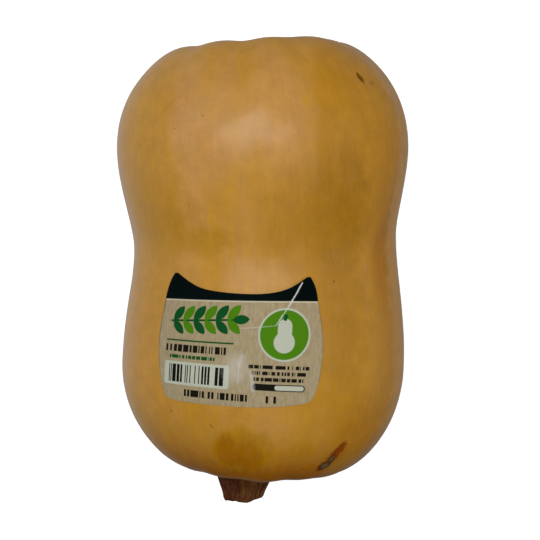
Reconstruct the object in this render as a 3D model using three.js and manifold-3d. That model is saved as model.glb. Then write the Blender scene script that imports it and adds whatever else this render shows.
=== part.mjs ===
// A butternut squash lying on its side: one fruit, its cut woody stem, and a paper label.
//
// Millimetres, +Z up. +Y runs to the blossom end, -Y to the stem, +X to the squash's right.
// The squash is first described upright along its own axis: "along" is the distance from the
// crest of the stem end towards the blossom end, and an angle of 0 faces up once it lies down.
// layDown() then bends it a little, leans its ends and rests it on its two lobes.
import * as THREE from 'three';
import { mergeVertices } from 'three/addons/utils/BufferGeometryUtils.js';
import Module from 'manifold-3d';

// Outline of the fruit: radii, and where they stand along the axis.
const LENGTH = 163.6;
const STEM_CREST_RADIUS = 27;
const STEM_LOBE_RADIUS = 54.9;
const STEM_LOBE_ALONG = 41.6;
const WAIST_RADIUS = 51;
const WAIST_ALONG = 88.5;
const BLOSSOM_LOBE_RADIUS = 56.7;
const BLOSSOM_LOBE_ALONG = 125.1;
const BLOSSOM_CREST_RADIUS = 31.8;

// How far each curve of the outline runs on before it turns: lengths of the curve handles.
const STEM_CREST_REACH = 9.6;
const STEM_SHOULDER_REACH = 26;
const STEM_LOBE_REACH = 21;
const WAIST_REACH = 14.5;
const WAIST_RISE_REACH = 8.8;
const BLOSSOM_LOBE_REACH = 13.2;
const BLOSSOM_SHOULDER_REACH = 25.1;
const BLOSSOM_CREST_REACH = 6;

// The flat seat of the stem, and the corky scar in the dimple of the blossom end.
const SEAT_RADIUS = 13;
const SEAT_DEPTH = 1.8;
const SEAT_OFFSET = -4.4;
const SEAT_OFFSET_FADE = 34;
const SCAR_RADIUS = 6;
const SCAR_DEPTH = 3;

// Ten shallow lobes, strongest on the two ends: the grooves between them, and how far they rise.
const GROOVES = [
  { degrees: -41, depth: 0.9 },
  { degrees: -8, depth: 1.2 },
  { degrees: 22, depth: 0.4 },
  { degrees: 46, depth: 0.3 },
  { degrees: 71, depth: 1 },
  { degrees: 110, depth: 0.8 },
  { degrees: 152, depth: 0.8 },
  { degrees: 196, depth: 1 },
  { degrees: 239, depth: 0.8 },
  { degrees: 280, depth: 0.7 },
];
const GROOVE_HALF_WIDTH = 10;
const GROOVE_REACH = 42;
const GROOVE_ON_FLANK = 0.12;
const GROOVE_START_RADIUS = 12;
const GROOVE_FULL_RADIUS = 30;
const LOBE_RISE = 0.6;

// The skin swells beside the stem on one side.
const SWELL_DEGREES = 8;
const SWELL_HEIGHT = 1.5;
const SWELL_RADIUS = 25;
const SWELL_HALF_SIZE = 9;

// How the grown shape departs from a straight one.
const BEND = 3.3;
const END_LEAN = 0.062;
const WAIST_LEAN = 0.04;
const WAIST_LEAN_LENGTH = 30;

// Where it lies. The flats under the two lobes are this deep.
const FLAT_DEPTH = 0.8;
const AXIS_X = -2.3;
const STEM_CREST_Y = -76.3;

// Stem: a flared, ridged peduncle with a slanting cut.
const STEM_BASE_RADIUS = 11.4;
const STEM_CUT_RADIUS = 7.4;
const STEM_CUT_ALONG = -12.4;
const STEM_CUT_SLANT = 0.17;
const STEM_MAIN_RIDGE = 0.07;
const STEM_FINE_RIDGE = 0.035;
const STEM_MAIN_RIDGES = 5;
const STEM_FINE_RIDGE_TURN = 1;

// Paper label. Its outline is flat, in millimetres right and up from its centre.
const LABEL_DEGREES = -10.5;
const LABEL_FROM_CREST = 64.3;
const LABEL_THICKNESS = 0.6;
const LABEL_LEFT_EAR = [-25.6, 26.6];
const LABEL_RIGHT_EAR = [25.3, 23.7];
const LABEL_LEFT_FOOT = [-28.8, -18.6];
const LABEL_RIGHT_FOOT = [29.6, -17.4];
const LABEL_TOP = [[-13.5, 20.8], [4.8, 18.5], [17, 19.7]];
const LABEL_BOTTOM = [[-24.5, -21.6], [4.9, -22.4], [25.2, -20.6]];
const LABEL_LEFT_SIDE = [[-31.2, -9.6], [-32.1, 1.5], [-30.4, 16]];
const LABEL_RIGHT_SIDE = [[31.4, -9.6], [32, 1], [29.8, 14.4]];

// Clearance between pieces that touch, and the fineness of the faceted solids.
const CLEARANCE = 0.3;
const MERGE_DISTANCE = 1e-4;
const FRUIT_SEGMENTS = 72;
const FRUIT_ROWS = 48;
const STEM_SEGMENTS = 40;
const STEM_ROWS = 6;
const LABEL_COLUMNS = 20;
const LABEL_ROWS = 14;
const FLOOR_SIZE = 400;

const wasm = await Module();
wasm.setup();

const radians = THREE.MathUtils.degToRad;
const smooth = THREE.MathUtils.smoothstep;
const bell = (distance, width) => Math.exp(-((distance / width) ** 2));
const tilt = Math.atan(
  (BLOSSOM_LOBE_RADIUS - STEM_LOBE_RADIUS) / (BLOSSOM_LOBE_ALONG - STEM_LOBE_ALONG),
);

/** A cubic curve in the half-plane of the outline, from [radius, along] points. */
function outlineCurve(...points) {
  return new THREE.CubicBezierCurve(...points.map(([r, along]) => new THREE.Vector2(r, along)));
}

/** A straight stretch of the outline. */
function outlineLine(start, end) {
  return new THREE.LineCurve(new THREE.Vector2(...start), new THREE.Vector2(...end));
}

/** The two curves of the stem end: out of the seat to the crest, and round the shoulder. */
function stemEndCurves() {
  return [
    outlineCurve(
      [SEAT_RADIUS, SEAT_DEPTH],
      [SEAT_RADIUS + SEAT_DEPTH, SEAT_DEPTH],
      [STEM_CREST_RADIUS - STEM_CREST_REACH, 0],
      [STEM_CREST_RADIUS, 0],
    ),
    outlineCurve(
      [STEM_CREST_RADIUS, 0],
      [STEM_CREST_RADIUS + STEM_CREST_REACH, 0],
      [STEM_LOBE_RADIUS, STEM_LOBE_ALONG - STEM_SHOULDER_REACH],
      [STEM_LOBE_RADIUS, STEM_LOBE_ALONG],
    ),
  ];
}

/** The two curves of the flank: down into the waist, and out of it again. */
function flankCurves() {
  return [
    outlineCurve(
      [STEM_LOBE_RADIUS, STEM_LOBE_ALONG],
      [STEM_LOBE_RADIUS, STEM_LOBE_ALONG + STEM_LOBE_REACH],
      [WAIST_RADIUS, WAIST_ALONG - WAIST_REACH],
      [WAIST_RADIUS, WAIST_ALONG],
    ),
    outlineCurve(
      [WAIST_RADIUS, WAIST_ALONG],
      [WAIST_RADIUS, WAIST_ALONG + WAIST_RISE_REACH],
      [BLOSSOM_LOBE_RADIUS, BLOSSOM_LOBE_ALONG - BLOSSOM_LOBE_REACH],
      [BLOSSOM_LOBE_RADIUS, BLOSSOM_LOBE_ALONG],
    ),
  ];
}

/** The two curves of the blossom end: round the shoulder, and down to the scar. */
function blossomEndCurves() {
  const scarAlong = LENGTH - SCAR_DEPTH;
  return [
    outlineCurve(
      [BLOSSOM_LOBE_RADIUS, BLOSSOM_LOBE_ALONG],
      [BLOSSOM_LOBE_RADIUS, BLOSSOM_LOBE_ALONG + BLOSSOM_SHOULDER_REACH],
      [BLOSSOM_CREST_RADIUS + BLOSSOM_CREST_REACH, LENGTH],
      [BLOSSOM_CREST_RADIUS, LENGTH],
    ),
    outlineCurve(
      [BLOSSOM_CREST_RADIUS, LENGTH],
      [BLOSSOM_CREST_RADIUS - 2 * BLOSSOM_CREST_REACH, LENGTH],
      [2 * SCAR_RADIUS, scarAlong],
      [SCAR_RADIUS, scarAlong],
    ),
  ];
}

/** The whole outline, from the middle of the stem's seat to the middle of the scar. */
function fruitOutline() {
  const outline = new THREE.CurvePath();
  outline.curves.push(
    outlineLine([0, SEAT_DEPTH], [SEAT_RADIUS, SEAT_DEPTH]),
    ...stemEndCurves(),
    ...flankCurves(),
    ...blossomEndCurves(),
    outlineLine([SCAR_RADIUS, LENGTH - SCAR_DEPTH], [0, LENGTH - SCAR_DEPTH]),
  );
  return outline;
}

const outline = fruitOutline();
const outlineLength = outline.getLength();
const crestDistance = outline.getCurveLengths()[1];

/** How far the lobes stand out, or their grooves lie in, at an angle of a point of the outline. */
function lobeHeight(angle, r, along) {
  const nearStem = smooth(GROOVE_REACH - along, 0, GROOVE_REACH);
  const nearBlossom = smooth(along, LENGTH - GROOVE_REACH, LENGTH);
  const nearEnd = Math.max(nearStem, nearBlossom, GROOVE_ON_FLANK);
  const share = nearEnd * smooth(r, GROOVE_START_RADIUS, GROOVE_FULL_RADIUS);
  const degrees = THREE.MathUtils.radToDeg(angle);
  const depth = GROOVES.reduce((sum, groove) => {
    const turn = THREE.MathUtils.euclideanModulo(degrees - groove.degrees + 180, 360) - 180;
    return sum + groove.depth * bell(turn, GROOVE_HALF_WIDTH);
  }, 0);
  return (LOBE_RISE - depth) * share;
}

/** How far the swelling beside the stem stands out. */
function swellHeight(angle, r, along) {
  if (along > STEM_LOBE_ALONG) {
    return 0;
  }
  const across = r * Math.sin(angle - radians(SWELL_DEGREES));
  const outwards = r * Math.cos(angle - radians(SWELL_DEGREES)) - SWELL_RADIUS;
  const clearOfSeat = smooth(r, SEAT_RADIUS, STEM_CREST_RADIUS);
  return SWELL_HEIGHT * bell(Math.hypot(across, outwards), SWELL_HALF_SIZE) * clearOfSeat;
}

/** Lays a point of the straight, upright squash down where it rests. */
function layDown(x, along, z) {
  const middle = LENGTH / 2;
  const share = (along - middle) / middle;
  const bentX = x + AXIS_X + BEND * (1 - share * share);
  const lean = END_LEAN * share + WAIST_LEAN * bell(along - WAIST_ALONG, WAIST_LEAN_LENGTH);
  const leaned = along + x * lean;
  const axisHeight = STEM_LOBE_RADIUS * Math.cos(tilt) - STEM_LOBE_ALONG * Math.sin(tilt) - FLAT_DEPTH;
  return new THREE.Vector3(
    bentX,
    leaned * Math.cos(tilt) - z * Math.sin(tilt) + STEM_CREST_Y,
    leaned * Math.sin(tilt) + z * Math.cos(tilt) + axisHeight,
  );
}

/** A point of the skin at a distance along the outline and an angle, lifted off it by lift. */
function skinPoint(angle, distance, lift) {
  const share = THREE.MathUtils.clamp(distance / outlineLength, 0, 1);
  const point = outline.getPoint(share);
  const tangent = outline.getTangent(share);
  const height = lift + swellHeight(angle, point.x, point.y) + lobeHeight(angle, point.x, point.y);
  const r = point.x + height * tangent.y;
  const along = point.y - height * tangent.x;
  const nearSeat = along < STEM_LOBE_ALONG ? 1 - smooth(r, SEAT_RADIUS, SEAT_OFFSET_FADE) : 0;
  return layDown(r * Math.sin(angle) + SEAT_OFFSET * nearSeat, along, r * Math.cos(angle));
}

/** Keeps only positions, joins equal ones and drops the triangles that vanish at a pole. */
function closedGeometry(geometry) {
  geometry.deleteAttribute('normal');
  geometry.deleteAttribute('uv');
  const merged = mergeVertices(geometry, MERGE_DISTANCE);
  const corners = merged.getIndex().array;
  const kept = [];
  for (let i = 0; i < corners.length; i += 3) {
    const [a, b, c] = [corners[i], corners[i + 1], corners[i + 2]];
    if (a !== b && b !== c && c !== a) {
      kept.push(a, b, c);
    }
  }
  merged.setIndex(kept);
  merged.computeVertexNormals();
  return merged;
}

/** Moves every vertex of a geometry to where place(vertex, number) says. */
function reshape(geometry, place) {
  const positions = geometry.getAttribute('position');
  const vertex = new THREE.Vector3();
  for (let i = 0; i < positions.count; i += 1) {
    vertex.fromBufferAttribute(positions, i);
    positions.setXYZ(i, ...place(vertex, i).toArray());
  }
  return closedGeometry(geometry);
}

/** A manifold solid with the shape of a closed geometry. */
function toSolid(geometry) {
  return new wasm.Manifold(new wasm.Mesh({
    numProp: 3,
    vertProperties: new Float32Array(geometry.getAttribute('position').array),
    triVerts: new Uint32Array(geometry.getIndex().array),
  }));
}

/** A geometry with the shape of a manifold solid. */
function toGeometry(solid) {
  const mesh = solid.getMesh();
  const geometry = new THREE.BufferGeometry();
  geometry.setAttribute('position', new THREE.BufferAttribute(mesh.vertProperties, 3));
  geometry.setIndex(new THREE.BufferAttribute(mesh.triVerts, 1));
  geometry.computeVertexNormals();
  return geometry;
}

/** The fruit: one solid turned from its outline, lobed, laid down and worn flat where it rests. */
function fruitGeometry() {
  const points = [];
  for (let row = 0; row <= FRUIT_ROWS; row += 1) {
    const point = outline.getPoint(row / FRUIT_ROWS);
    points.push(new THREE.Vector2(row % FRUIT_ROWS === 0 ? 0 : point.x, point.y));
  }
  const turned = new THREE.LatheGeometry(points, FRUIT_SEGMENTS);
  const skin = reshape(turned, (vertex, number) => {
    const row = number % points.length;
    const segment = Math.floor(number / points.length) % FRUIT_SEGMENTS;
    return skinPoint((segment / FRUIT_SEGMENTS) * 2 * Math.PI, (row / FRUIT_ROWS) * outlineLength, 0);
  });
  const underFloor = new THREE.BoxGeometry(FLOOR_SIZE, FLOOR_SIZE, FLOOR_SIZE);
  underFloor.translate(0, 0, -FLOOR_SIZE / 2);
  return toGeometry(toSolid(skin).subtract(toSolid(closedGeometry(underFloor))));
}

/** How much wider than its mean radius the stem is at an angle. */
function stemRidge(angle) {
  const main = STEM_MAIN_RIDGE * Math.cos(STEM_MAIN_RIDGES * angle);
  const fine = STEM_FINE_RIDGE * Math.cos(2 * STEM_MAIN_RIDGES * angle + STEM_FINE_RIDGE_TURN);
  return 1 + main + fine;
}

/** The stem: turned from a tapering outline, then ridged and cut at a slant. */
function stemGeometry() {
  const base = SEAT_DEPTH - CLEARANCE;
  const points = [new THREE.Vector2(0, STEM_CUT_ALONG)];
  for (let row = 0; row <= STEM_ROWS; row += 1) {
    const share = row / STEM_ROWS;
    points.push(new THREE.Vector2(
      THREE.MathUtils.lerp(STEM_CUT_RADIUS, STEM_BASE_RADIUS, share),
      THREE.MathUtils.lerp(STEM_CUT_ALONG, base, share),
    ));
  }
  points.push(new THREE.Vector2(0, base));
  return reshape(new THREE.LatheGeometry(points, STEM_SEGMENTS), (vertex) => {
    const ridge = stemRidge(Math.atan2(vertex.x, vertex.z));
    const nearCut = (base - vertex.y) / (base - STEM_CUT_ALONG);
    const x = vertex.x * ridge;
    const along = vertex.y + x * STEM_CUT_SLANT * nearCut;
    return layDown(x + SEAT_OFFSET, along, vertex.z * ridge);
  });
}

/** A smooth edge of the label from one corner to another, through the points between. */
function labelEdge(start, between, end) {
  return new THREE.SplineCurve([start, ...between, end].map((point) => new THREE.Vector2(...point)));
}

/** The label's flat sheet as a function of two shares, 0 to 1 rightwards and upwards. */
function labelSheet() {
  const top = labelEdge(LABEL_LEFT_EAR, LABEL_TOP, LABEL_RIGHT_EAR);
  const bottom = labelEdge(LABEL_LEFT_FOOT, LABEL_BOTTOM, LABEL_RIGHT_FOOT);
  const left = labelEdge(LABEL_LEFT_FOOT, LABEL_LEFT_SIDE, LABEL_LEFT_EAR);
  const right = labelEdge(LABEL_RIGHT_FOOT, LABEL_RIGHT_SIDE, LABEL_RIGHT_EAR);
  return (s, t) => {
    const point = bottom.getPointAt(s).multiplyScalar(1 - t);
    point.addScaledVector(top.getPointAt(s), t);
    point.addScaledVector(left.getPointAt(t), 1 - s);
    point.addScaledVector(right.getPointAt(t), s);
    point.addScaledVector(bottom.getPointAt(0), -(1 - s) * (1 - t));
    point.addScaledVector(bottom.getPointAt(1), -s * (1 - t));
    point.addScaledVector(top.getPointAt(0), -(1 - s) * t);
    return point.addScaledVector(top.getPointAt(1), -s * t);
  };
}

/** The label: a thin plate with the outline of the sheet, wrapped round the skin. */
function labelGeometry() {
  const sheet = labelSheet();
  const plate = new THREE.BoxGeometry(1, 1, 1, LABEL_COLUMNS, LABEL_ROWS, 1);
  return reshape(plate, (vertex) => {
    const flat = sheet(vertex.x + 0.5, vertex.y + 0.5);
    const distance = crestDistance + LABEL_FROM_CREST + flat.y;
    const r = outline.getPoint(distance / outlineLength).x;
    const lift = CLEARANCE + (vertex.z + 0.5) * LABEL_THICKNESS;
    return skinPoint(radians(LABEL_DEGREES) + flat.x / r, distance, lift);
  });
}

/** A named piece with its own finish. */
function piece(name, geometry, color, roughness) {
  const material = new THREE.MeshStandardMaterial({ color, roughness, metalness: 0 });
  const mesh = new THREE.Mesh(geometry, material);
  mesh.name = name;
  return mesh;
}

const squash = new THREE.Group();
squash.add(piece('fruit', fruitGeometry(), '#c08a48', 0.5));
squash.add(piece('stem', stemGeometry(), '#5c3d22', 0.85));
squash.add(piece('label', labelGeometry(), '#b3a98f', 0.6));

export default squash;
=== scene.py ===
"""A butternut squash lying on its side: the visual model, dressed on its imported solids.

The classes hold their sizes in millimetres, named as in the solids and with much the same values,
and every mesh is written in metres. The squash is first described upright: a distance runs along its
skin from the middle of the stem's seat to the middle of the blossom scar, and an angle of 0 faces up
once it lies down.
"""

import logging
import math
from collections.abc import Iterator
from contextlib import contextmanager
from dataclasses import dataclass, field
from enum import Enum
from functools import cached_property

import bpy
import numpy as np
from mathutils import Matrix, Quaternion, Vector, noise


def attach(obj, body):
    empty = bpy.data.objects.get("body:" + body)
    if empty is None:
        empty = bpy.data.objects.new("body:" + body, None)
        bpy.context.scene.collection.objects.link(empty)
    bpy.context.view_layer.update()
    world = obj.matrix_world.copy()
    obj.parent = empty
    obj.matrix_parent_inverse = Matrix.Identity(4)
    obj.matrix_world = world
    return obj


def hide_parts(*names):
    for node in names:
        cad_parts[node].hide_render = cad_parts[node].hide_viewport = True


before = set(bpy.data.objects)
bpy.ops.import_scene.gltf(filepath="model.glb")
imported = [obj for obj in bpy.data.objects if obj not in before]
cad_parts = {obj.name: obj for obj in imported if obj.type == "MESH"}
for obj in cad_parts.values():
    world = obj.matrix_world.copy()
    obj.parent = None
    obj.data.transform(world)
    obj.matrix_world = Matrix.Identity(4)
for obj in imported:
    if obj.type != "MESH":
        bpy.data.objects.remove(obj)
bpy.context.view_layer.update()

log = logging.getLogger("squash")

MM = 0.001

# Socket numbers of a Mix node that mixes colours.
MIX_FACTOR, MIX_A, MIX_B, MIX_OUT = 0, 6, 7, 2

# Short names for types that are used often.
Piece = bpy.types.Object
Tree = bpy.types.NodeTree
Socket = bpy.types.NodeSocket
Place = tuple[float, float]
Colour = tuple[float, float, float, float]


# ---------------------------------------------------------------- small tools


def linear(hex_colour: str) -> Colour:
    """Turns an sRGB hex colour into the linear colour that a shader takes.

    Args:
        hex_colour: A colour such as "#c08a48".

    Returns:
        Red, green, blue and alpha, linear.
    """
    parts = [int(hex_colour[i:i + 2], 16) / 255 for i in (1, 3, 5)]
    turned = [c / 12.92 if c <= 0.04045 else ((c + 0.055) / 1.055) ** 2.4 for c in parts]
    return (*turned, 1.0)


def smooth(value: np.ndarray, low: float, high: float) -> np.ndarray:
    """A smooth step from 0 at low to 1 at high."""
    share = np.clip((value - low) / (high - low), 0, 1)
    return share * share * (3 - 2 * share)


def bell(value: np.ndarray, width: float) -> np.ndarray:
    """A bell curve: 1 in the middle, and 1/e one width away."""
    return np.exp(-((value / width) ** 2))


def points_of(piece: Piece) -> np.ndarray:
    """Reads the vertices of a piece.

    Args:
        piece: The piece.

    Returns:
        Rows of x, y and z.
    """
    flat = np.zeros(len(piece.data.vertices) * 3)
    piece.data.vertices.foreach_get("co", flat)
    return flat.reshape(-1, 3)


def move_points(piece: Piece, points: np.ndarray) -> None:
    """Moves the vertices of a piece to new places, in metres."""
    piece.data.vertices.foreach_set("co", points.astype(np.float32).ravel())
    piece.data.update()


def store_vectors(piece: Piece, name: str, vectors: np.ndarray) -> None:
    """Keeps a vector for each vertex of a piece, for its material to read."""
    attribute = piece.data.attributes.new(name, "FLOAT_VECTOR", "POINT")
    attribute.data.foreach_set("vector", vectors.astype(np.float32).ravel())


def store_values(piece: Piece, name: str, values: np.ndarray) -> None:
    """Keeps a value for each vertex of a piece, for its material to read."""
    store_vectors(piece, name, np.repeat(values[:, None], 3, axis=1))


@contextmanager
def editing(select_by: str) -> Iterator[None]:
    """Opens the active piece in edit mode, and closes it again.

    Args:
        select_by: What is selected there: "EDGE" or "FACE".

    Yields:
        Nothing: its block runs while the mesh is open.
    """
    bpy.ops.object.mode_set(mode="EDIT")
    bpy.ops.mesh.select_mode(type=select_by)
    yield
    bpy.ops.object.mode_set(mode="OBJECT")


def rough(points: np.ndarray, size: float, seed: float) -> np.ndarray:
    """Smooth noise at each point, from about -1 to 1.

    Args:
        points: Rows of x, y and z, in any unit.
        size: The size of the noise's features, in that unit.
        seed: Where in the noise to start, so that two uses differ.

    Returns:
        One value for each point.
    """
    scaled = points / size + seed
    return np.array([noise.noise(Vector(p)) for p in scaled])


def add_node(
    tree: Tree, kind: str, inputs: dict | None = None, **settings: object
) -> bpy.types.bpy_prop_collection:
    """Adds a shader node with its settings and with what feeds its inputs.

    Args:
        tree: The node tree of a material or world.
        kind: The node's type name after "ShaderNode".
        inputs: For each input, by name or number, a value or the socket that feeds it.
        **settings: The node's own properties.

    Returns:
        The outputs of the new node.
    """
    made = tree.nodes.new("ShaderNode" + kind)
    for name, value in settings.items():
        setattr(made, name, value)
    for key, value in (inputs or {}).items():
        if isinstance(value, Socket):
            tree.links.new(value, made.inputs[key])
        else:
            made.inputs[key].default_value = value
    return made.outputs


def new_material(name: str) -> tuple[bpy.types.Material, Tree]:
    """Makes an empty node material.

    Args:
        name: The real material's name.

    Returns:
        The material and its node tree.
    """
    material = bpy.data.materials.new(name)
    material.use_nodes = True
    material.node_tree.nodes.clear()
    return material, material.node_tree


def finish_surface(tree: Tree, inputs: dict, height: Socket, depth: float) -> None:
    """Ends a material with its shader, its bump and its output.

    Args:
        tree: The material's node tree.
        inputs: What the Principled shader takes, without its normal.
        height: The bump's height, in units of depth.
        depth: The bump's full height in millimetres.
    """
    bump = add_node(tree, "Bump", {"Height": height, "Distance": depth * MM, "Strength": 1.0})
    shader = add_node(tree, "BsdfPrincipled", {**inputs, "Normal": bump[0]})
    add_node(tree, "OutputMaterial", {"Surface": shader[0]})


@dataclass(frozen=True)
class Bumps:
    """Low smooth bumps: their height and size, and where in the noise they start."""

    height: float
    size: float
    seed: float

    def relief(self, points: np.ndarray) -> np.ndarray:
        """How far they stand out or lie in at each point, up to about their height."""
        return self.height * rough(points, self.size, self.seed)


@dataclass(frozen=True)
class Ring:
    """A low ring on the skin round one of its ends, or a sunk one if its height is below 0."""

    radius: float
    height: float
    half_width: float

    def relief(self, out: np.ndarray) -> np.ndarray:
        """How far it stands out, at distances from the middle of the end."""
        return self.height * bell(out - self.radius, self.half_width)


# ---------------------------------------------------------------- the form of the skin


@dataclass(frozen=True)
class Groove:
    """A shallow groove between two lobes: where it runs, and how deep it is at each end."""

    degrees: float
    stem_depth: float
    blossom_depth: float


@dataclass(frozen=True)
class SquashShape:
    """The form of the skin, in millimetres: that of the solids, with its lobes a little eased."""

    length: float = 163.6
    stem_crest_radius: float = 27.0
    stem_lobe_radius: float = 54.9
    stem_lobe_along: float = 41.6
    waist_radius: float = 51.0
    waist_along: float = 88.5
    blossom_lobe_radius: float = 56.7
    blossom_lobe_along: float = 125.1
    blossom_crest_radius: float = 31.8

    stem_crest_reach: float = 9.6
    stem_shoulder_reach: float = 26.0
    stem_lobe_reach: float = 21.0
    waist_reach: float = 14.5
    waist_rise_reach: float = 8.8
    blossom_lobe_reach: float = 13.2
    blossom_shoulder_reach: float = 25.1
    blossom_crest_reach: float = 6.0

    seat_radius: float = 13.0
    seat_depth: float = 1.8
    seat_offset: float = -4.4
    seat_offset_fade: float = 34.0
    scar_radius: float = 6.0
    scar_depth: float = 3.0

    grooves: tuple[Groove, ...] = (
        Groove(-62, 0.4, 0.0),
        Groove(-41, 0.5, 0.8),
        Groove(-8, 0.6, 0.95),
        Groove(22, 0.7, 0.4),
        Groove(46, 0.3, 0.0),
        Groove(54, 0.0, 0.5),
        Groove(71, 0.6, 1.0),
        Groove(110, 0.8, 0.8),
        Groove(152, 0.8, 0.8),
        Groove(196, 1.0, 1.0),
        Groove(239, 0.8, 0.8),
        Groove(280, 0.7, 0.7),
    )
    groove_half_width: float = 10.0
    groove_reach: float = 42.0
    groove_on_flank: float = 0.12
    groove_start_radius: float = 12.0
    groove_full_radius: float = 30.0
    lobe_rise: float = 0.6

    swell_degrees: float = 4.0
    swell_height: float = 1.1
    swell_radius: float = 25.0
    swell_half_size: float = 12.0

    bend: float = 3.3
    end_lean: float = 0.062
    waist_lean: float = 0.04
    waist_lean_length: float = 30.0
    top_waist_shift: float = 6.0
    top_waist_length: float = 26.0

    flat_depth: float = 0.8
    axis_x: float = -2.3
    stem_crest_y: float = -76.3

    samples_per_curve: int = 400

    def curves(self) -> list[list[Place]]:
        """Lists the outline's cubic curves.

        Returns:
            Each curve as four points, which hold a radius and a place along the axis.
        """
        seat = (self.seat_radius, self.seat_depth)
        stem_crest = (self.stem_crest_radius, 0.0)
        stem_lobe = (self.stem_lobe_radius, self.stem_lobe_along)
        waist = (self.waist_radius, self.waist_along)
        blossom_lobe = (self.blossom_lobe_radius, self.blossom_lobe_along)
        blossom_crest = (self.blossom_crest_radius, self.length)
        scar = (self.scar_radius, self.length - self.scar_depth)
        return [
            self.line((0.0, self.seat_depth), seat),
            self.curve(seat, (self.seat_depth, 0), (-self.stem_crest_reach, 0), stem_crest),
            self.curve(stem_crest, (self.stem_crest_reach, 0), (0, -self.stem_shoulder_reach), stem_lobe),
            self.curve(stem_lobe, (0, self.stem_lobe_reach), (0, -self.waist_reach), waist),
            self.curve(waist, (0, self.waist_rise_reach), (0, -self.blossom_lobe_reach), blossom_lobe),
            self.curve(
                blossom_lobe,
                (0, self.blossom_shoulder_reach),
                (self.blossom_crest_reach, 0),
                blossom_crest,
            ),
            self.curve(blossom_crest, (-2 * self.blossom_crest_reach, 0), (self.scar_radius, 0), scar),
            self.line(scar, (0.0, self.length - self.scar_depth)),
        ]

    @staticmethod
    def line(start: Place, end: Place) -> list[Place]:
        """A straight stretch, as a cubic curve."""
        third = ((end[0] - start[0]) / 3, (end[1] - start[1]) / 3)
        return SquashShape.curve(start, third, (-third[0], -third[1]), end)

    @staticmethod
    def curve(start: Place, leave: Place, arrive: Place, end: Place) -> list[Place]:
        """A cubic curve from its two ends and the handles at each."""
        handles = (start[0] + leave[0], start[1] + leave[1]), (end[0] + arrive[0], end[1] + arrive[1])
        return [start, *handles, end]

    @cached_property
    def outline(self) -> np.ndarray:
        """Follows the outline in small steps.

        Returns:
            Rows of distance, radius, place along the axis, and the outline's direction there.
        """
        share = np.linspace(0, 1, self.samples_per_curve)[:, None]
        pieces = []
        for p0, p1, p2, p3 in np.array(self.curves()):
            curve = (
                (1 - share) ** 3 * p0
                + 3 * (1 - share) ** 2 * share * p1
                + 3 * (1 - share) * share**2 * p2
                + share**3 * p3
            )
            pieces.append(curve[:-1])
        pieces.append(np.array(self.curves()[-1][3:]))
        line = np.vstack(pieces)
        steps = np.hypot(*np.diff(line, axis=0).T)
        distance = np.concatenate([[0], np.cumsum(steps)])
        direction = np.gradient(line, distance, axis=0)
        return np.column_stack([distance, line, direction])

    @cached_property
    def total(self) -> float:
        """The whole distance along the skin, from the stem's seat to the blossom scar."""
        return float(self.outline[-1, 0])

    @cached_property
    def crest_distance(self) -> float:
        """The distance at which the crest of the stem end lies."""
        return float(self.outline[2 * (self.samples_per_curve - 1), 0])

    @cached_property
    def waist_distance(self) -> float:
        """The distance at which the waist lies."""
        return float(self.outline[4 * (self.samples_per_curve - 1), 0])

    def waist_ease(self, angle: np.ndarray, distance: np.ndarray) -> np.ndarray:
        """How far the skin stands off its outline on top, where its waist lies nearer the stem.

        Args:
            angle: Angles round the axis, in radians.
            distance: Distances along the skin.

        Returns:
            The height of each place, in millimetres.
        """
        share = bell(distance - self.waist_distance, self.top_waist_length)
        shift = self.top_waist_shift * share * smooth(np.cos(angle), 0.2, 0.9)
        return self.radius_at(distance + shift) - self.radius_at(distance)

    def radius_at(self, distance: np.ndarray) -> np.ndarray:
        """The outline's radius at a distance."""
        return np.interp(distance, self.outline[:, 0], self.outline[:, 1])

    def lobe_height(self, angle: np.ndarray, r: np.ndarray, along: np.ndarray) -> np.ndarray:
        """How far the lobes stand out, or their grooves lie in.

        Args:
            angle: Angles round the axis, in radians.
            r: The outline's radius at each.
            along: Its place along the axis.

        Returns:
            The height of each place, in millimetres.
        """
        near_stem = smooth(self.groove_reach - along, 0, self.groove_reach)
        near_blossom = smooth(along, self.length - self.groove_reach, self.length)
        near_end = np.maximum(np.maximum(near_stem, near_blossom), self.groove_on_flank)
        share = near_end * smooth(r, self.groove_start_radius, self.groove_full_radius)
        far = smooth(along, self.stem_lobe_along, self.blossom_lobe_along)
        depth = np.zeros_like(angle)
        for groove in self.grooves:
            turn = np.mod(np.degrees(angle) - groove.degrees + 180, 360) - 180
            here = groove.stem_depth + (groove.blossom_depth - groove.stem_depth) * far
            depth += here * bell(turn, self.groove_half_width)
        return (self.lobe_rise - depth) * share

    def swell(self, angle: np.ndarray, r: np.ndarray, along: np.ndarray) -> np.ndarray:
        """How far the swelling beside the stem stands out.

        Args:
            angle: Angles round the axis, in radians.
            r: The outline's radius at each.
            along: Its place along the axis.

        Returns:
            The height of each place, in millimetres.
        """
        turned = angle - math.radians(self.swell_degrees)
        across, outwards = r * np.sin(turned), r * np.cos(turned) - self.swell_radius
        height = self.swell_height * bell(np.hypot(across, outwards), self.swell_half_size)
        clear_of_seat = smooth(r, self.seat_radius, self.stem_crest_radius)
        return np.where(along > self.stem_lobe_along, 0.0, height * clear_of_seat)

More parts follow.
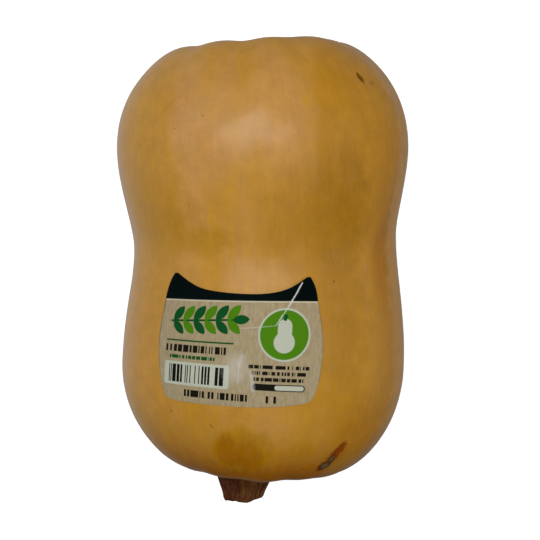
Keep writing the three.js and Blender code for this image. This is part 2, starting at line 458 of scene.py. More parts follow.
    def lay_down(self, x: np.ndarray, along: np.ndarray, z: np.ndarray) -> np.ndarray:
        """Lays points of the straight, upright squash down where they rest.

        Args:
            x: How far to the squash's right, in millimetres.
            along: How far from the crest of the stem end towards the blossom end.
            z: How far up.

        Returns:
            Rows of x, y and z in metres, in the shared frame.
        """
        tilt = math.atan(
            (self.blossom_lobe_radius - self.stem_lobe_radius)
            / (self.blossom_lobe_along - self.stem_lobe_along)
        )
        share = (along - self.length / 2) / (self.length / 2)
        bent = x + self.axis_x + self.bend * (1 - share**2)
        waist = self.waist_lean * bell(along - self.waist_along, self.waist_lean_length)
        leaned = along + x * (self.end_lean * share + waist)
        axis_height = (
            self.stem_lobe_radius * math.cos(tilt)
            - self.stem_lobe_along * math.sin(tilt)
            - self.flat_depth
        )
        y = leaned * math.cos(tilt) - z * math.sin(tilt) + self.stem_crest_y
        up = leaned * math.sin(tilt) + z * math.cos(tilt) + axis_height
        return np.column_stack([bent, y, up]) * MM

    def skin(self, angle: np.ndarray, distance: np.ndarray, lift: np.ndarray | float) -> np.ndarray:
        """Points on the skin, or lifted off it.

        Args:
            angle: Angles round the axis, in radians, 0 facing up.
            distance: Distances along the skin, in millimetres.
            lift: How far each point stands off the skin, in millimetres.

        Returns:
            Rows of x, y and z in metres.
        """
        table = self.outline
        r, along, run_r, run_along = (np.interp(distance, table[:, 0], table[:, i]) for i in range(1, 5))
        height = lift + self.swell(angle, r, along) + self.lobe_height(angle, r, along)
        height = height + self.waist_ease(angle, distance)
        r_out = r + height * run_along
        along_out = along - height * run_r
        near_seat = 1 - smooth(r_out, self.seat_radius, self.seat_offset_fade)
        offset = np.where(along_out < self.stem_lobe_along, self.seat_offset * near_seat, 0.0)
        return self.lay_down(r_out * np.sin(angle) + offset, along_out, r_out * np.cos(angle))

    def degree_width(self, from_crest: float) -> float:
        """How many millimetres of skin one degree spans, at a distance from the stem-end crest."""
        return math.radians(1.0) * float(self.radius_at(self.crest_distance + from_crest))


# ---------------------------------------------------------------- blemishes


class MarkKind(Enum):
    """What a blemish on the skin is, with its colour."""

    SLIT = "#683a04"
    SPECK = "#82500f"
    CORK = "#5a4a2c"
    STAIN = "#5e2a08"
    RUST = "#96420a"
    SCRATCH = "#c69253"


@dataclass(frozen=True)
class Mark:
    """A blemish: a stroke on the skin from one place to another.

    A place is an angle in degrees and a distance from the crest of the stem end. Depth is how far
    it is sunk into the skin, or stands out of it if it is below 0. Taper is how much narrower its
    ends are than its middle, as a share of its width.
    """

    kind: MarkKind
    start: Place
    end: Place
    width: float
    depth: float = 0.0
    strength: float = 1.0
    taper: float = 0.6

    def stroke(self, shape: SquashShape) -> tuple[Vector, Vector, Vector]:
        """Lays the stroke on the flattened skin.

        Args:
            shape: The skin's form.

        Returns:
            The scale that flattens the skin here, and the stroke's start and run on it, in
            millimetres.
        """
        scale = Vector((shape.degree_width((self.start[1] + self.end[1]) / 2), 1.0, 0.0))
        start = Vector((*self.start, 0.0)) * scale
        return scale, start, Vector((*self.end, 0.0)) * scale - start


# A slit with a scratch by the blossom end, scattered specks, and a rusty and corky scar by the stem.
MARKS = (
    Mark(MarkKind.SLIT, (46.0, 163.4), (47.3, 159.3), 2.7, 0.25, 0.9),
    Mark(MarkKind.SCRATCH, (49.6, 161.5), (50.8, 152.5), 0.9, 0.05, 0.2),
    Mark(MarkKind.SPECK, (53.0, 160.0), (53.4, 158.4), 3.2, 0.0, 0.45),
    Mark(MarkKind.SPECK, (-22.2, 148.2), (-21.6, 147.7), 0.7, 0.1, 0.6),
    Mark(MarkKind.SPECK, (-34.3, 144.4), (-33.4, 144.0), 0.7, 0.1, 0.4),
    Mark(MarkKind.SPECK, (-69.2, 139.6), (-69.2, 138.4), 0.8, 0.1, 0.8),
    Mark(MarkKind.SPECK, (29.2, 86.7), (29.3, 86.1), 1.0, 0.1, 0.9),
    Mark(MarkKind.SPECK, (5.9, 115.9), (6.2, 115.6), 0.7, 0.0, 0.4),
    Mark(MarkKind.SPECK, (-29.9, 116.6), (-29.4, 116.0), 0.6, 0.0, 0.4),
    Mark(MarkKind.SPECK, (-40.5, 113.9), (-40.0, 113.5), 0.6, 0.0, 0.4),
    Mark(MarkKind.SPECK, (-38.5, 38.2), (-38.5, 37.6), 0.9, 0.1, 0.6),
    Mark(MarkKind.SPECK, (-20.9, 34.2), (-19.2, 32.6), 0.8, 0.1, 0.5),
    Mark(MarkKind.STAIN, (40.7, 26.2), (36.1, 14.4), 4.9, 0.02, 0.85, 0.3),
    Mark(MarkKind.RUST, (40.8, 26.3), (38.6, 20.2), 3.4, 0.3, 0.9, 0.3),
    Mark(MarkKind.RUST, (34.9, 16.4), (34.2, 14.4), 2.6, 0.02, 0.7, 0.3),
    Mark(MarkKind.CORK, (38.7, 21.2), (37.7, 18.4), 2.8, -0.3, 1.0, 0.4),
    Mark(MarkKind.CORK, (37.2, 17.5), (36.5, 15.4), 4.9, -0.35, 1.0, 0.3),
    Mark(MarkKind.SPECK, (27.5, 14.4), (25.0, 13.2), 1.6, 0.0, 0.3),
)


def stroke_distance(points: np.ndarray, start: Vector, run: Vector) -> tuple[np.ndarray, np.ndarray]:
    """How far points are from a stroke, and how near they are to its ends.

    Args:
        points: Rows of x, y and z.
        start: Where the stroke starts.
        run: From there to its other end.

    Returns:
        The distance of each point, in its unit, and 0 at the stroke's middle to 1 at its ends.
    """
    away = points - np.array(start)
    share = np.clip(away @ np.array(run) / run.length_squared, 0, 1)
    distance = np.linalg.norm(away - share[:, None] * np.array(run), axis=1)
    return distance, (2 * share - 1) ** 2


# ---------------------------------------------------------------- finishes


class Tint(Enum):
    """A colour that the rind takes in one place or another, or that paints light on it."""

    BLUSH = "#c69253"
    TAN = "#c18c3b"
    YELLOW = "#be8928"
    OCHRE = "#b88019"
    OLIVE = "#b3811e"
    UMBER = "#a57314"
    RUSSET = "#aa6e09"
    HONEY = "#b07e08"
    AMBER = "#a86601"
    STEM_END = "#aa680b"
    # Painted highlight: the pale band round the stem's seat.
    COLLAR = "#b48d58"
    GROUND_SPOT = "#c79c5e"
    # Painted highlight: greyer and paler, for the soft edge of the window's highlight above the label.
    DUSKY = "#bc8c4c"
    PALE = "#cba877"


@dataclass(frozen=True)
class Patch:
    """A tinted patch of skin, soft at its edge.

    It lies at an angle in degrees and a distance from the crest of the stem end, and reaches so
    many degrees to each side and so many millimetres to each end. The edge is the share of that
    reach over which the tint fades.
    """

    tint: Tint
    degrees: float
    from_crest: float
    side_reach: float
    end_reach: float
    edge: float
    strength: float


# The tints of the whole skin, and those that lie over the deeper colour of the stem end. Three of
# them paint light, each marked so.
PATCHES = (
    Patch(Tint.YELLOW, -56.0, 120.0, 22.0, 75.0, 0.5, 0.75),
    Patch(Tint.YELLOW, 30.0, 58.0, 20.0, 40.0, 0.45, 0.7),
    Patch(Tint.RUSSET, 60.0, 90.0, 13.0, 75.0, 0.6, 0.35),
    Patch(Tint.RUSSET, 57.5, 106.0, 7.5, 32.0, 0.6, 0.75),
    Patch(Tint.RUSSET, 46.0, 30.0, 16.0, 16.0, 0.6, 0.5),
    # Painted reflection: a pale band along the right rim, for its grazing reflection.
    Patch(Tint.TAN, 74.0, 78.0, 11.0, 60.0, 0.6, 0.7),
    Patch(Tint.BLUSH, -29.0, 155.0, 8.5, 20.0, 0.7, 0.8),
    Patch(Tint.BLUSH, -15.0, 160.0, 9.0, 13.0, 0.7, 0.5),
    Patch(Tint.BLUSH, -22.0, 136.0, 11.0, 17.0, 0.6, 0.7),
    Patch(Tint.BLUSH, -28.0, 114.0, 7.0, 14.0, 0.6, 0.5),
    Patch(Tint.BLUSH, 7.0, 153.0, 12.0, 27.0, 0.5, 0.7),
    Patch(Tint.BLUSH, -8.0, 140.0, 14.0, 16.0, 0.6, 0.25),
    Patch(Tint.BLUSH, 11.0, 126.0, 11.0, 18.0, 0.5, 0.3),
    Patch(Tint.BLUSH, -2.0, 118.0, 12.0, 14.0, 0.6, 0.12),
    Patch(Tint.OCHRE, 43.0, 140.0, 23.0, 44.0, 0.16, 0.8),
    Patch(Tint.UMBER, 28.0, 112.0, 18.0, 24.0, 0.6, 0.8),
    Patch(Tint.UMBER, 32.0, 88.0, 13.0, 50.0, 0.6, 0.5),
    # Painted highlight: the soft edge of the window's highlight above the label, greyer and paler.
    Patch(Tint.DUSKY, -2.0, 98.0, 20.0, 18.0, 0.6, 0.3),
    Patch(Tint.UMBER, 8.0, 108.0, 12.0, 18.0, 0.7, 0.45),
    Patch(Tint.OLIVE, -44.0, 112.0, 18.0, 14.0, 0.6, 0.55),
    Patch(Tint.OLIVE, -24.0, 103.0, 13.0, 6.0, 0.6, 0.7),
    Patch(Tint.TAN, 3.0, 37.0, 8.0, 11.0, 0.5, 0.8),
)
STEM_PATCHES = (
    Patch(Tint.HONEY, -7.0, 22.0, 15.0, 12.0, 0.25, 0.9),
    Patch(Tint.AMBER, -13.5, 22.0, 7.0, 9.0, 0.4, 0.8),
    Patch(Tint.AMBER, -4.0, 18.0, 6.5, 12.0, 0.5, 0.7),
    Patch(Tint.HONEY, 20.0, 23.0, 7.0, 7.0, 0.6, 0.5),
    Patch(Tint.TAN, -50.0, 15.0, 20.0, 12.0, 0.6, 0.35),
    Patch(Tint.TAN, 54.0, 14.0, 14.0, 10.0, 0.6, 0.6),
    # Painted highlight: a pale band round the stem's seat, for the light caught on its rim.
    Patch(Tint.COLLAR, -8.0, -4.5, 36.0, 10.5, 0.45, 0.65),
)
# Where the wax is worn thin, above the label.
WORN_WAX = Patch(Tint.OLIVE, -16.0, 87.0, 18.0, 14.0, 0.6, 0.55)


@dataclass(frozen=True)
class Fade:
    """A smooth fade: the values at which it starts and is full, and how strong it then is."""

    start: float
    full: float
    strength: float = 1.0

    def over(self, tree: Tree, value: Socket, unit: float = 1.0) -> Socket:
        """Fades in as a value, such as a distance or a noise, goes from its start to its full.

        Args:
            tree: The material's node tree.
            value: The value.
            unit: What one unit of the start and the full is in the value's own unit.

        Returns:
            From 0 to the fade's strength.
        """
        limits = {"From Min": self.start * unit, "From Max": self.full * unit, "To Max": self.strength}
        return add_node(
            tree, "MapRange", {"Value": value, **limits}, interpolation_type="SMOOTHSTEP"
        )[0]


@dataclass(frozen=True)
class Grain:
    """A noise that follows the growth of the plant.

    Its features have a width in millimetres and are so many times longer along the growth. Detail
    is how many finer layers it has, and roughness how strong they are.
    """

    width: float
    stretch: float = 1.0
    detail: float = 2.0
    roughness: float = 0.55

    def over(self, tree: Tree, where: Socket) -> Socket:
        """Spreads the noise over a surface.

        Args:
            tree: The material's node tree.
            where: The coordinates that it follows, in metres.

        Returns:
            A value round 0.5.
        """
        drawn_out = (1.0, 1.0, 1 / self.stretch)
        drawn = add_node(tree, "VectorMath", {0: where, 1: drawn_out}, operation="MULTIPLY")[0]
        look = {"Scale": 1 / (self.width * MM), "Detail": self.detail, "Roughness": self.roughness}
        return add_node(tree, "TexNoise", {"Vector": drawn, **look})["Fac"]


@dataclass
class Coats:
    """The colours of a surface, laid one over another, and what is laid so far."""

    tree: Tree
    colour: Socket | Colour

    def lay(self, cover: Socket, over: Socket | Colour) -> None:
        """Lays a colour over the others, as far as it covers them."""
        layers = {MIX_FACTOR: cover, MIX_A: self.colour, MIX_B: over}
        self.colour = add_node(self.tree, "Mix", layers, data_type="RGBA")[MIX_OUT]


@dataclass(frozen=True)
class Rind:
    """Butternut rind: hard, waxy and matt-tan, drawn out in streaks from stem to blossom end.

    The wax gives the eye a broad soft sheen, greyer where the skin turns away. Four of the noises
    shade the colour, each by a share. The stem end's fade counts from the crest, and the fades of
    a blemish are in shares of its own edge.
    """

    bands: Grain = Grain(13.0, 6.0, 3.0)
    streaks: Grain = Grain(3.2, 9.0)
    fibres: Grain = Grain(1.0, 16.0)
    flecks: Grain = Grain(2.0, 2.5, 3.0)
    mottle: Grain = Grain(6.0, 1.0, 4.0)
    fine: Grain = Grain(1.2)
    mottle_shade: float = 0.18
    streak_shade: float = 0.09
    fibre_shade: float = 0.04
    fine_shade: float = 0.07

    yellow_bands: Fade = Fade(0.75, 1.25)
    pale_flecks: Fade = Fade(0.4, 0.7, 0.05)
    stem_end: Fade = Fade(40.0, 16.0)
    stem_end_wander: float = 16.0
    ground_spot: Fade = Fade(22.0, 2.0, 0.6)
    # The painted highlight of the collar round the stem, by the distance along the skin.
    collar_highlight: Fade = Fade(16.8, 14.8, 0.75)
    patch_wander: float = 9.5
    stem_patch_wander: float = 5.0

    mark_edge: float = 0.725
    mark_wander: float = 0.45
    mark_start: float = 1.25
    mark_full: float = 0.65
    cork_rim: str = "#452409"
    cork_rim_fade: Fade = Fade(1.2, 0.9, 0.85)
    cork_fade: Fade = Fade(0.95, 0.6)
    pale_cork: str = "#786a4a"
    pale_cork_grain: Fade = Fade(0.35, 0.65)

    pore_spacing: float = 2.6
    pore_pit: Fade = Fade(0.16, 0.08, 0.5)
    bump_depth: float = 0.05
    least_roughness: float = 0.19
    most_roughness: float = 0.29
    ior: float = 1.33
    wax: float = 0.5
    worn_wax: float = 0.05

    def material(self, shape: SquashShape) -> bpy.types.Material:
        """Builds the rind's material.

        Args:
            shape: The skin's form, for the places of the patches and the blemishes.

        Returns:
            The material.
        """
        material, tree = new_material("butternut_rind")
        coats = RindCoats(tree, self, shape)
        wandering = coats.wander(self.patch_wander)
        coats.tint(PATCHES, wandering)
        coats.tint_ends()
        coats.tint(STEM_PATCHES, coats.wander(self.stem_patch_wander))
        coats.shade()
        coats.lay(self.pale_flecks.over(tree, coats.flecks), linear(Tint.PALE.value))
        dull = coats.cover(WORN_WAX, wandering)
        for mark in MARKS:
            cover = coats.draw(mark)
            if mark.depth:
                dull = add_node(tree, "Math", {0: dull, 1: cover}, operation="MAXIMUM")[0]
        wax_range = {"To Min": self.wax, "To Max": self.worn_wax}
        wax = add_node(tree, "MapRange", {"Value": dull, **wax_range})[0]
        gloss_range = {"To Min": self.least_roughness, "To Max": self.most_roughness}
        gloss = add_node(tree, "MapRange", {"Value": coats.streaks, **gloss_range})[0]
        raised = add_node(tree, "Math", {0: coats.mottle, 1: coats.fibres}, operation="ADD")[0]
        relief = add_node(tree, "Math", {0: raised, 1: coats.pores()}, operation="SUBTRACT")[0]
        surface = {"Roughness": gloss, "IOR": self.ior, "Specular IOR Level": wax}
        finish_surface(tree, {"Base Color": coats.colour, **surface}, relief, self.bump_depth)
        return material


class RindCoats(Coats):
    """The rind's colours, with the places and the noises that its patches and blemishes share."""

    def __init__(self, tree: Tree, look: Rind, shape: SquashShape) -> None:
        """Starts with the skin's own colour, in faint bands of tan and yellow.

        Args:
            tree: The material's node tree.
            look: The rind's colours and sizes.
            shape: The skin's form.
        """
        super().__init__(tree, linear(Tint.TAN.value))
        self.look, self.shape = look, shape
        self.grown = add_node(tree, "Attribute", attribute_name="grown")["Vector"]
        self.place = add_node(tree, "TexCoord")["Object"]
        along_growth = (look.bands, look.streaks, look.fibres, look.flecks)
        noises = [grain.over(tree, self.grown) for grain in along_growth]
        self.bands, self.streaks, self.fibres, self.flecks = noises
        self.mottle, self.fine = look.mottle.over(tree, self.place), look.fine.over(tree, self.place)
        both = add_node(tree, "Math", {0: self.bands, 1: self.streaks}, operation="ADD")[0]
        self.lay(look.yellow_bands.over(tree, both), linear(Tint.YELLOW.value))
        cork = Coats(tree, linear(MarkKind.CORK.value))
        cork.lay(look.pale_cork_grain.over(tree, self.fine), linear(look.pale_cork))
        self.cork = cork.colour
        self.unrolled = self.unroll()

    def unroll(self) -> Socket:
        """Unrolls the skin.

        Returns:
            Its place as degrees round it and millimetres from the stem-end crest.
        """
        across, up, distance = add_node(self.tree, "SeparateXYZ", {0: self.grown})
        turn = add_node(self.tree, "Math", {0: across, 1: up}, operation="ARCTAN2")[0]
        degrees = add_node(self.tree, "Math", {0: turn}, operation="DEGREES")[0]
        from_crest = {0: distance, 1: 1 / MM, 2: -self.shape.crest_distance}
        along = add_node(self.tree, "Math", from_crest, operation="MULTIPLY_ADD")[0]
        return add_node(self.tree, "CombineXYZ", {0: degrees, 1: along})[0]

    def wander(self, reach: float) -> Socket:
        """Draws the unrolled place aside by the noises, which gives a patch an uneven edge.

        Args:
            reach: How far it is drawn, in degrees and in millimetres.

        Returns:
            The place.
        """
        noises = add_node(self.tree, "CombineXYZ", {0: self.mottle, 1: self.streaks})[0]
        middle = (0.5, 0.5, 0.0)
        centred = add_node(self.tree, "VectorMath", {0: noises, 1: middle}, operation="SUBTRACT")[0]
        aside = {0: centred, 1: (reach, reach, 0.0), 2: self.unrolled}
        return add_node(self.tree, "VectorMath", aside, operation="MULTIPLY_ADD")[0]

    def cover(self, patch: Patch, where: Socket) -> Socket:
        """How strongly a patch covers the skin.

        Args:
            patch: The patch.
            where: The place on the unrolled skin.

        Returns:
            From 0 to the patch's strength.
        """
        centre = (patch.degrees, patch.from_crest, 0.0)
        reach = (1 / patch.side_reach, 1 / patch.end_reach, 0.0)
        away = add_node(self.tree, "VectorMath", {0: where, 1: centre}, operation="SUBTRACT")[0]
        share = add_node(self.tree, "VectorMath", {0: away, 1: reach}, operation="MULTIPLY")[0]
        length = add_node(self.tree, "VectorMath", {0: share}, operation="LENGTH")["Value"]
        return Fade(1 + patch.edge / 2, 1 - patch.edge, patch.strength).over(self.tree, length)

    def tint(self, patches: tuple[Patch, ...], where: Socket) -> None:
        """Tints patches of the skin, by the place on it."""
        for patch in patches:
            self.lay(self.cover(patch, where), linear(patch.tint.value))

    def tint_ends(self) -> None:
        """Deepens the colour towards the stem, pales the spot where it lay, and paints the collar's
        highlight.
        """
        look = self.look
        distance = add_node(self.tree, "SeparateXYZ", {0: self.grown})[2]
        height = add_node(self.tree, "SeparateXYZ", {0: self.place})[2]
        from_seat = {0: self.bands, 1: look.stem_end_wander * MM, 2: distance}
        ragged = add_node(self.tree, "Math", from_seat, operation="MULTIPLY_ADD")[0]
        from_crest = {0: ragged, 1: self.shape.crest_distance * MM}
        ragged = add_node(self.tree, "Math", from_crest, operation="SUBTRACT")[0]
        for fade, value, tint in (
            (look.stem_end, ragged, Tint.STEM_END),
            (look.ground_spot, height, Tint.GROUND_SPOT),
            # Painted highlight of the collar round the stem.
            (look.collar_highlight, distance, Tint.COLLAR),
        ):
            self.lay(fade.over(self.tree, value, MM), linear(tint.value))

    def shade(self) -> None:
        """Makes the colour a little lighter and darker by each of the noises."""
        look = self.look
        for value, share in (
            (self.mottle, look.mottle_shade),
            (self.streaks, look.streak_shade),
            (self.fibres, look.fibre_shade),
            (self.fine, look.fine_shade),
        ):
            limits = {"Value": value, "To Min": 1 - share, "To Max": 1 + share}
            scale = {0: self.colour, "Scale": add_node(self.tree, "MapRange", limits)[0]}
            self.colour = add_node(self.tree, "VectorMath", scale, operation="SCALE")[0]

    def draw(self, mark: Mark) -> Socket:
        """Draws one blemish over the skin.

        Args:
            mark: The blemish.

        Returns:
            How strongly it covers the skin.
        """
        look = self.look
        uneven = {0: self.fine, 1: look.mark_wander * mark.width, 2: self.distance_to(mark)}
        away = add_node(self.tree, "Math", uneven, operation="MULTIPLY_ADD")[0]
        layers = [(Fade(look.mark_start, look.mark_full, mark.strength), linear(mark.kind.value))]
        if mark.kind is MarkKind.CORK:
            layers = [(look.cork_rim_fade, linear(look.cork_rim)), (look.cork_fade, self.cork)]
        covers = [fade.over(self.tree, away, look.mark_edge * mark.width) for fade, _ in layers]
        for cover, (_, over) in zip(covers, layers):
            self.lay(cover, over)
        return covers[0]

    def distance_to(self, mark: Mark) -> Socket:
        """How far the skin is from a blemish's stroke.

        Args:
            mark: The blemish.

        Returns:
            The distance in millimetres, longer at the ends of the stroke, which narrow there.
        """
        tree = self.tree
        scale, start, run = mark.stroke(self.shape)
        flat = add_node(tree, "VectorMath", {0: self.unrolled, 1: scale}, operation="MULTIPLY")[0]
        away = add_node(tree, "VectorMath", {0: flat, 1: start}, operation="SUBTRACT")[0]
        share_run = {0: away, 1: run / run.length_squared}
        along = add_node(tree, "VectorMath", share_run, operation="DOT_PRODUCT")["Value"]
        held = add_node(tree, "Clamp", {"Value": along})[0]
        nearest = add_node(tree, "VectorMath", {0: run, "Scale": held}, operation="SCALE")[0]
        distance = add_node(tree, "VectorMath", {0: away, 1: nearest}, operation="DISTANCE")["Value"]
        turned = add_node(tree, "Math", {0: held, 1: 2.0, 2: -1.0}, operation="MULTIPLY_ADD")[0]
        end = add_node(tree, "Math", {0: turned, 1: 2.0}, operation="POWER")[0]
        tapered = {0: end, 1: 0.5 * mark.taper * mark.width, 2: distance}
        return add_node(tree, "Math", tapered, operation="MULTIPLY_ADD")[0]

    def pores(self) -> Socket:
        """The depth of small scattered pits in the skin."""
        cells = {"Vector": self.place, "Scale": 1 / (self.look.pore_spacing * MM)}
        return self.look.pore_pit.over(self.tree, add_node(self.tree, "TexVoronoi", cells)["Distance"])


@dataclass(frozen=True)
class Stalk:
    """Dry squash stalk: woody, dark brown and fibrous, with no gloss to the eye.

    It is paler on its ridges and where it was cut, and paler towards its right side than its left.
    """

    dark: str = "#40160a"
    brown: str = "#623414"
    ridge: str = "#765226"
    cut: str = "#8a6a38"
    roughness: float = 0.85
    ior: float = 1.3
    fibres: Grain = Grain(0.55, 1 / 0.12, 4.0, 0.65)
    blotches: Grain = Grain(4.0, 1.0, 3.0, 0.5)
    brown_fibres: Fade = Fade(0.38, 0.6)
    worn_fibres: Fade = Fade(0.1, 0.4)
    hollow_wear: float = 0.66
    ridge_wear: float = 0.18
    left_at: float = -14.0
    right_at: float = -6.0
    left_paling: float = 0.55
    right_paling: float = 1.15
    bump_depth: float = 0.35

    def material(self) -> bpy.types.Material:
        """Builds the stalk's material.

        Returns:
            The material.
        """
        material, tree = new_material("dry_squash_stalk")
        place = add_node(tree, "TexCoord")["Object"]
        fibres = self.fibres.over(tree, add_node(tree, "Attribute", attribute_name="grown")["Vector"])
        ridge, cut = (add_node(tree, "Attribute", attribute_name=name)["Fac"] for name in ("ridge", "cut"))
        coats = Coats(tree, linear(self.dark))
        coats.lay(self.brown_fibres.over(tree, fibres), linear(self.brown))
        across = {"From Min": self.left_at * MM, "From Max": self.right_at * MM}
        paling = {"To Min": self.left_paling, "To Max": self.right_paling}
        aside = add_node(tree, "SeparateXYZ", {0: place})[0]
        side = add_node(tree, "MapRange", {"Value": aside, **across, **paling})[0]
        on_ridge = {0: ridge, 1: self.ridge_wear, 2: self.hollow_wear}
        paled = add_node(tree, "Math", on_ridge, operation="MULTIPLY_ADD")[0]
        for share in (fibres, self.blotches.over(tree, place), side):
            paled = add_node(tree, "Math", {0: paled, 1: share}, operation="MULTIPLY")[0]
        coats.lay(self.worn_fibres.over(tree, paled), linear(self.ridge))
        coats.lay(cut, linear(self.cut))
        surface = {"Base Color": coats.colour, "Roughness": self.roughness, "IOR": self.ior}
        finish_surface(tree, surface, fibres, self.bump_depth)
        return material


@dataclass(frozen=True)
class WearOrGlare:
    """A pale patch of the label: ink rubbed off at a crease, or a painted highlight of glare.

    It has a place, a size and a turn in degrees. Its edge is drawn in and out by the fibres, and
    is so soft, in millimetres. Paling is the share by which the ink gives way to the pale colour.
    """

    centre: Place
    size: Place
    turn: float
    raggedness: float
    soft: float
    paling: float


@dataclass(frozen=True)
class Crease:
    """A crease in the label: where it runs, how high it stands, and how much ink it lost."""

    start: Place
    end: Place
    width: float
    height: float
    paling: float
    raggedness: float = 0.9
    soft: float = 0.09

    def pale_patch(self) -> WearOrGlare:
        """Where the crease has lost its ink.

        Returns:
            A narrow patch along it.
        """
        across, up = self.end[0] - self.start[0], self.end[1] - self.start[1]
        centre = (self.start[0] + across / 2, self.start[1] + up / 2)
        turn = math.degrees(math.atan2(up, across))
        size = (math.hypot(across, up), self.width)
        return WearOrGlare(centre, size, turn, self.raggedness, self.soft, self.paling)


# One long crease in three runs, from the right ear inwards, and a short one below the middle.
CREASES = (
    Crease((22.9, 22.8), (18.6, 14.9), 0.6, 0.35, 0.9),
    Crease((18.6, 14.9), (13.9, 7.3), 0.45, 0.3, 0.75),
    Crease((13.9, 7.3), (1.4, 6.0), 0.35, 0.2, 0.3),
    Crease((1.6, -5.6), (1.9, -13.6), 0.5, 0.3, 0.3),
)
# Painted highlight: the glare on the bulged paper below the middle, with one narrow streak in it
# and one beside it, painted as paled ink.
PAINTED_GLARE = (
    WearOrGlare((0.6, -8.6), (7.0, 9.5), -8.0, 1.76, 2.2, 0.32),
    WearOrGlare((6.8, -12.6), (1.1, 7.5), 8.0, 0.48, 0.6, 0.5),
    WearOrGlare((2.2, -5.6), (1.2, 4.5), -12.0, 0.48, 0.6, 0.3),
)


@dataclass
class Print(Coats):
    """Flat inks on a sheet, placed by its own coordinates in millimetres.

    An ink's edge fades over about a fifth of a millimetre. A real one is sharper, too fine to show.
    """

    at: Socket
    ink_edge: float = 0.09
    bar_corner: float = 0.1

    def reach(self, centre: Place, size: Place, corner: float, turn: float = 0.0) -> Socket:
        """How far a place is outside a rounded panel, or inside it if below 0.

        Args:
            centre: The panel's centre.
            size: Its width and height.
            corner: The radius of its corners.
            turn: How far it is turned, anticlockwise, in degrees.

        Returns:
            The distance in millimetres.
        """
        tree = self.tree
        moves = {"Location": (*centre, 0.0), "Rotation": (0, 0, math.radians(turn))}
        moved = add_node(tree, "Mapping", {"Vector": self.at, **moves}, vector_type="TEXTURE")[0]
        folded = add_node(tree, "VectorMath", {0: moved}, operation="ABSOLUTE")[0]
        half = (size[0] / 2 - corner, size[1] / 2 - corner, 0.0)
        past = add_node(tree, "VectorMath", {0: folded, 1: half}, operation="SUBTRACT")[0]
        nothing = (0.0, 0.0, 0.0)
        clipped = add_node(tree, "VectorMath", {0: past, 1: nothing}, operation="MAXIMUM")[0]
        length = add_node(tree, "VectorMath", {0: clipped}, operation="LENGTH")["Value"]
        return add_node(tree, "Math", {0: length, 1: corner}, operation="SUBTRACT")[0]

    def inside(self, reach: Socket, soft: float) -> Socket:
        """1 where a distance is below 0, with a soft edge to each side of it, in millimetres."""
        return add_node(self.tree, "MapRange", {"Value": reach, "From Min": soft, "From Max": -soft})[0]

    def panel(
        self, centre: Place, size: Place, corner: float, hex_colour: str, turn: float = 0.0
    ) -> None:
        """Prints a rounded panel, which is a disc where its corners meet.

        Args:
            centre: The panel's centre.
            size: Its width and height.
            corner: The radius of its corners.
            hex_colour: Its ink.
            turn: How far it is turned, anticlockwise, in degrees.
        """
        mask = self.inside(self.reach(centre, size, corner, turn), self.ink_edge)
        self.lay(mask, linear(hex_colour))

    def leaf(self, base: Place, length: float, width: float, turn: float, hex_colour: str) -> None:
        """Prints a pointed leaf, where two discs overlap.

        Args:
            base: Where the leaf starts.
            length: From its base to its tip.
            width: Across its middle.
            turn: Which way it points, in degrees anticlockwise from the right.
            hex_colour: Its ink.
        """
        radius = (length**2 / 4 + width**2 / 4) / width
        aside = radius - width / 2
        run, rise = math.cos(math.radians(turn)), math.sin(math.radians(turn))
        middle = (base[0] + length / 2 * run, base[1] + length / 2 * rise)
        discs = []
        for offset in (aside, -aside):
            centre = (middle[0] - offset * rise, middle[1] + offset * run)
            discs.append(self.reach(centre, (2 * radius, 2 * radius), radius))
        overlap = add_node(self.tree, "Math", {0: discs[0], 1: discs[1]}, operation="MAXIMUM")[0]
        self.lay(self.inside(overlap, self.ink_edge), linear(hex_colour))

    def columns(self, width: float, share: float, seed: float) -> Socket:
        """Fills upright columns of the sheet at random.

        Args:
            width: The width of a column.
            share: The share of the columns that is filled.
            seed: Which random draw to take.

        Returns:
            1 in a filled column, and 0 in the others.
        """
        across = (1 / width, 0.0, 0.0)
        column = add_node(self.tree, "VectorMath", {0: self.at, 1: across}, operation="MULTIPLY")[0]
        floor = add_node(self.tree, "VectorMath", {0: column}, operation="FLOOR")[0]
        random = {"Vector": floor, "W": seed}
        drawn = add_node(self.tree, "TexWhiteNoise", random, noise_dimensions="4D")["Value"]
        return add_node(self.tree, "Math", {0: drawn, 1: share}, operation="LESS_THAN")[0]

    def bars(
        self, centre: Place, size: Place, widths: dict[float, float], hex_colour: str, seed: float
    ) -> None:
        """Prints a panel of upright strokes at random.

        Args:
            centre: The panel's centre.
            size: Its width and height.
            widths: The share that is filled of the columns of each width. Only where all the
                widths have a filled column is there ink.
            hex_colour: The ink.
            seed: Which random draw to take.
        """
        mask = self.inside(self.reach(centre, size, self.bar_corner), self.ink_edge)
        for width, share in widths.items():
            column = self.columns(width, share, seed)
            mask = add_node(self.tree, "Math", {0: mask, 1: column}, operation="MULTIPLY")[0]
        self.lay(mask, linear(hex_colour))

    def pale_ink(self, pale_patch: WearOrGlare, fibres: Socket, pale_colour: str) -> None:
        """Pales the ink unevenly by the paper's fibres: worn off at a crease, painted glare elsewhere.

        Args:
            pale_patch: The patch: a crease's worn ink, or painted glare.
            fibres: The noise of the paper's fibres.
            pale_colour: The colour of the bare paper, which also paints the glare.
        """
        reach = self.reach(pale_patch.centre, pale_patch.size, min(pale_patch.size) / 2, pale_patch.turn)
        uneven = {0: fibres, 1: -pale_patch.raggedness, 2: reach}
        ragged = add_node(self.tree, "Math", uneven, operation="MULTIPLY_ADD")[0]
        centred = add_node(self.tree, "Math", {0: ragged, 1: pale_patch.raggedness / 2}, operation="ADD")[0]
        mask = self.inside(centred, pale_patch.soft)
        lost = add_node(self.tree, "Math", {0: mask, 1: pale_patch.paling}, operation="MULTIPLY")[0]
        self.lay(lost, linear(pale_colour))


